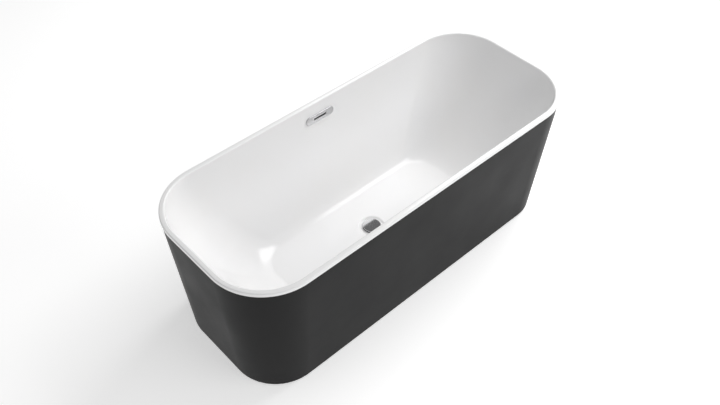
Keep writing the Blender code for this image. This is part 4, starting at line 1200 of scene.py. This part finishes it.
def add_softbox(name, place_at, size, power):
    """Adds a rectangular area light that looks at the tub."""
    deselect_all()
    bpy.ops.object.light_add(type="AREA", location=place_at)
    light = bpy.context.object
    light.name = name
    light.data.shape = "RECTANGLE"
    light.data.size, light.data.size_y = size
    light.data.energy = power
    light.rotation_mode = "QUATERNION"
    light.rotation_quaternion = (Vector(LIGHT_AIM) - Vector(place_at)).to_track_quat("-Z", "Y")


def make_studio_world(scene):
    """Soft white surroundings that are darker towards the far right."""
    world = scene.world or bpy.data.worlds.new("studio")
    scene.world = world
    world.use_nodes = True
    tree = world.node_tree
    direction = tree.nodes.new("ShaderNodeTexCoord").outputs["Generated"]
    facing = tree.nodes.new("ShaderNodeVectorMath")
    facing.operation = "DOT_PRODUCT"
    facing.inputs[1].default_value = SHADY_SIDE
    tree.links.new(direction, facing.inputs[0])
    strength = map_range(tree, facing.outputs["Value"], 0.2, 0.85, 0.50, 0.22)
    background = tree.nodes["Background"]
    background.inputs["Color"].default_value = WHITE
    tree.links.new(strength, background.inputs["Strength"])


class BATHTUB_OT_stage(bpy.types.Operator):
    """Set the camera, the pale floor and soft studio light"""

    bl_idname = "bathtub.stage"
    bl_label = "Stage"

    def execute(self, context):
        deselect_all()
        bpy.ops.mesh.primitive_plane_add(size=40, location=(0, 0, 0))
        floor = context.object
        floor.name = "studio_floor"
        material = Finish("studio_floor", FLOOR_TONES[0], 0.9)
        soft = material.effect("soft_patches", 3.0)
        material.colour(mix_colour(material.tree, soft, *FLOOR_TONES))
        material.shader.inputs["Emission Color"].default_value = WHITE
        material.shader.inputs["Emission Strength"].default_value = FLOOR_GLOW
        floor.data.materials.append(material.material)

        make_studio_world(context.scene)
        for softbox in SOFTBOXES:
            add_softbox(*softbox)

        azimuth, elevation, roll = (math.radians(angle) for angle in CAMERA_ANGLES)
        turn = Matrix.Rotation(azimuth, 4, "Z") @ Matrix.Rotation(math.pi / 2 - elevation, 4, "X")
        turn = turn @ Matrix.Rotation(roll, 4, "Z")
        deselect_all()
        bpy.ops.object.camera_add()
        camera = context.object
        camera.name = "studio_camera"
        camera.matrix_world = Matrix.Translation(CAMERA_PLACE) @ turn
        camera.data.lens = CAMERA_LENS
        camera.data.sensor_width = 36
        context.scene.camera = camera
        context.scene.view_settings.view_transform = "Standard"
        return {"FINISHED"}


# --- the add-on ---
PIECE_OPERATORS = (
    BATHTUB_OT_finishes,
    BATHTUB_OT_basin,
    BATHTUB_OT_apron,
    BATHTUB_OT_waste_cap,
    BATHTUB_OT_waste_flange,
    BATHTUB_OT_overflow_plate,
    BATHTUB_OT_feet,
    BATHTUB_OT_frame,
    BATHTUB_OT_waste,
    BATHTUB_OT_trap,
    BATHTUB_OT_overflow,
    BATHTUB_OT_stage,
)


class BATHTUB_PT_panel(bpy.types.Panel):
    """Lists the sizes, the colours and the pieces"""

    bl_idname = "BATHTUB_PT_panel"
    bl_label = "Bathtub"
    bl_space_type = "VIEW_3D"
    bl_region_type = "UI"
    bl_category = "Bathtub"

    def draw(self, context):
        column = self.layout.column(align=True)
        for group in (context.scene.bathtub_sizes, context.scene.bathtub_finish):
            for name in group.bl_rna.properties.keys():
                if name not in {"rna_type", "name"}:
                    column.prop(group, name)
        for operator in PIECE_OPERATORS:
            column.operator(operator.bl_idname)


CLASSES = (BathtubSizes, BathtubFinish, *PIECE_OPERATORS, BATHTUB_PT_panel)


def register():
    for item in CLASSES:
        bpy.utils.register_class(item)
    bpy.types.Scene.bathtub_sizes = PointerProperty(type=BathtubSizes)
    bpy.types.Scene.bathtub_finish = PointerProperty(type=BathtubFinish)


def unregister():
    del bpy.types.Scene.bathtub_sizes
    del bpy.types.Scene.bathtub_finish
    for item in reversed(CLASSES):
        bpy.utils.unregister_class(item)


def main():
    register()
    bpy.ops.bathtub.finishes()
    bpy.ops.bathtub.basin()
    bpy.ops.bathtub.apron()
    bpy.ops.bathtub.waste_cap()
    bpy.ops.bathtub.waste_flange()
    bpy.ops.bathtub.overflow_plate()
    bpy.ops.bathtub.feet()
    bpy.ops.bathtub.frame()
    bpy.ops.bathtub.waste()
    bpy.ops.bathtub.trap()
    bpy.ops.bathtub.overflow()
    bpy.ops.bathtub.stage()


if __name__ == "__main__":
    main()
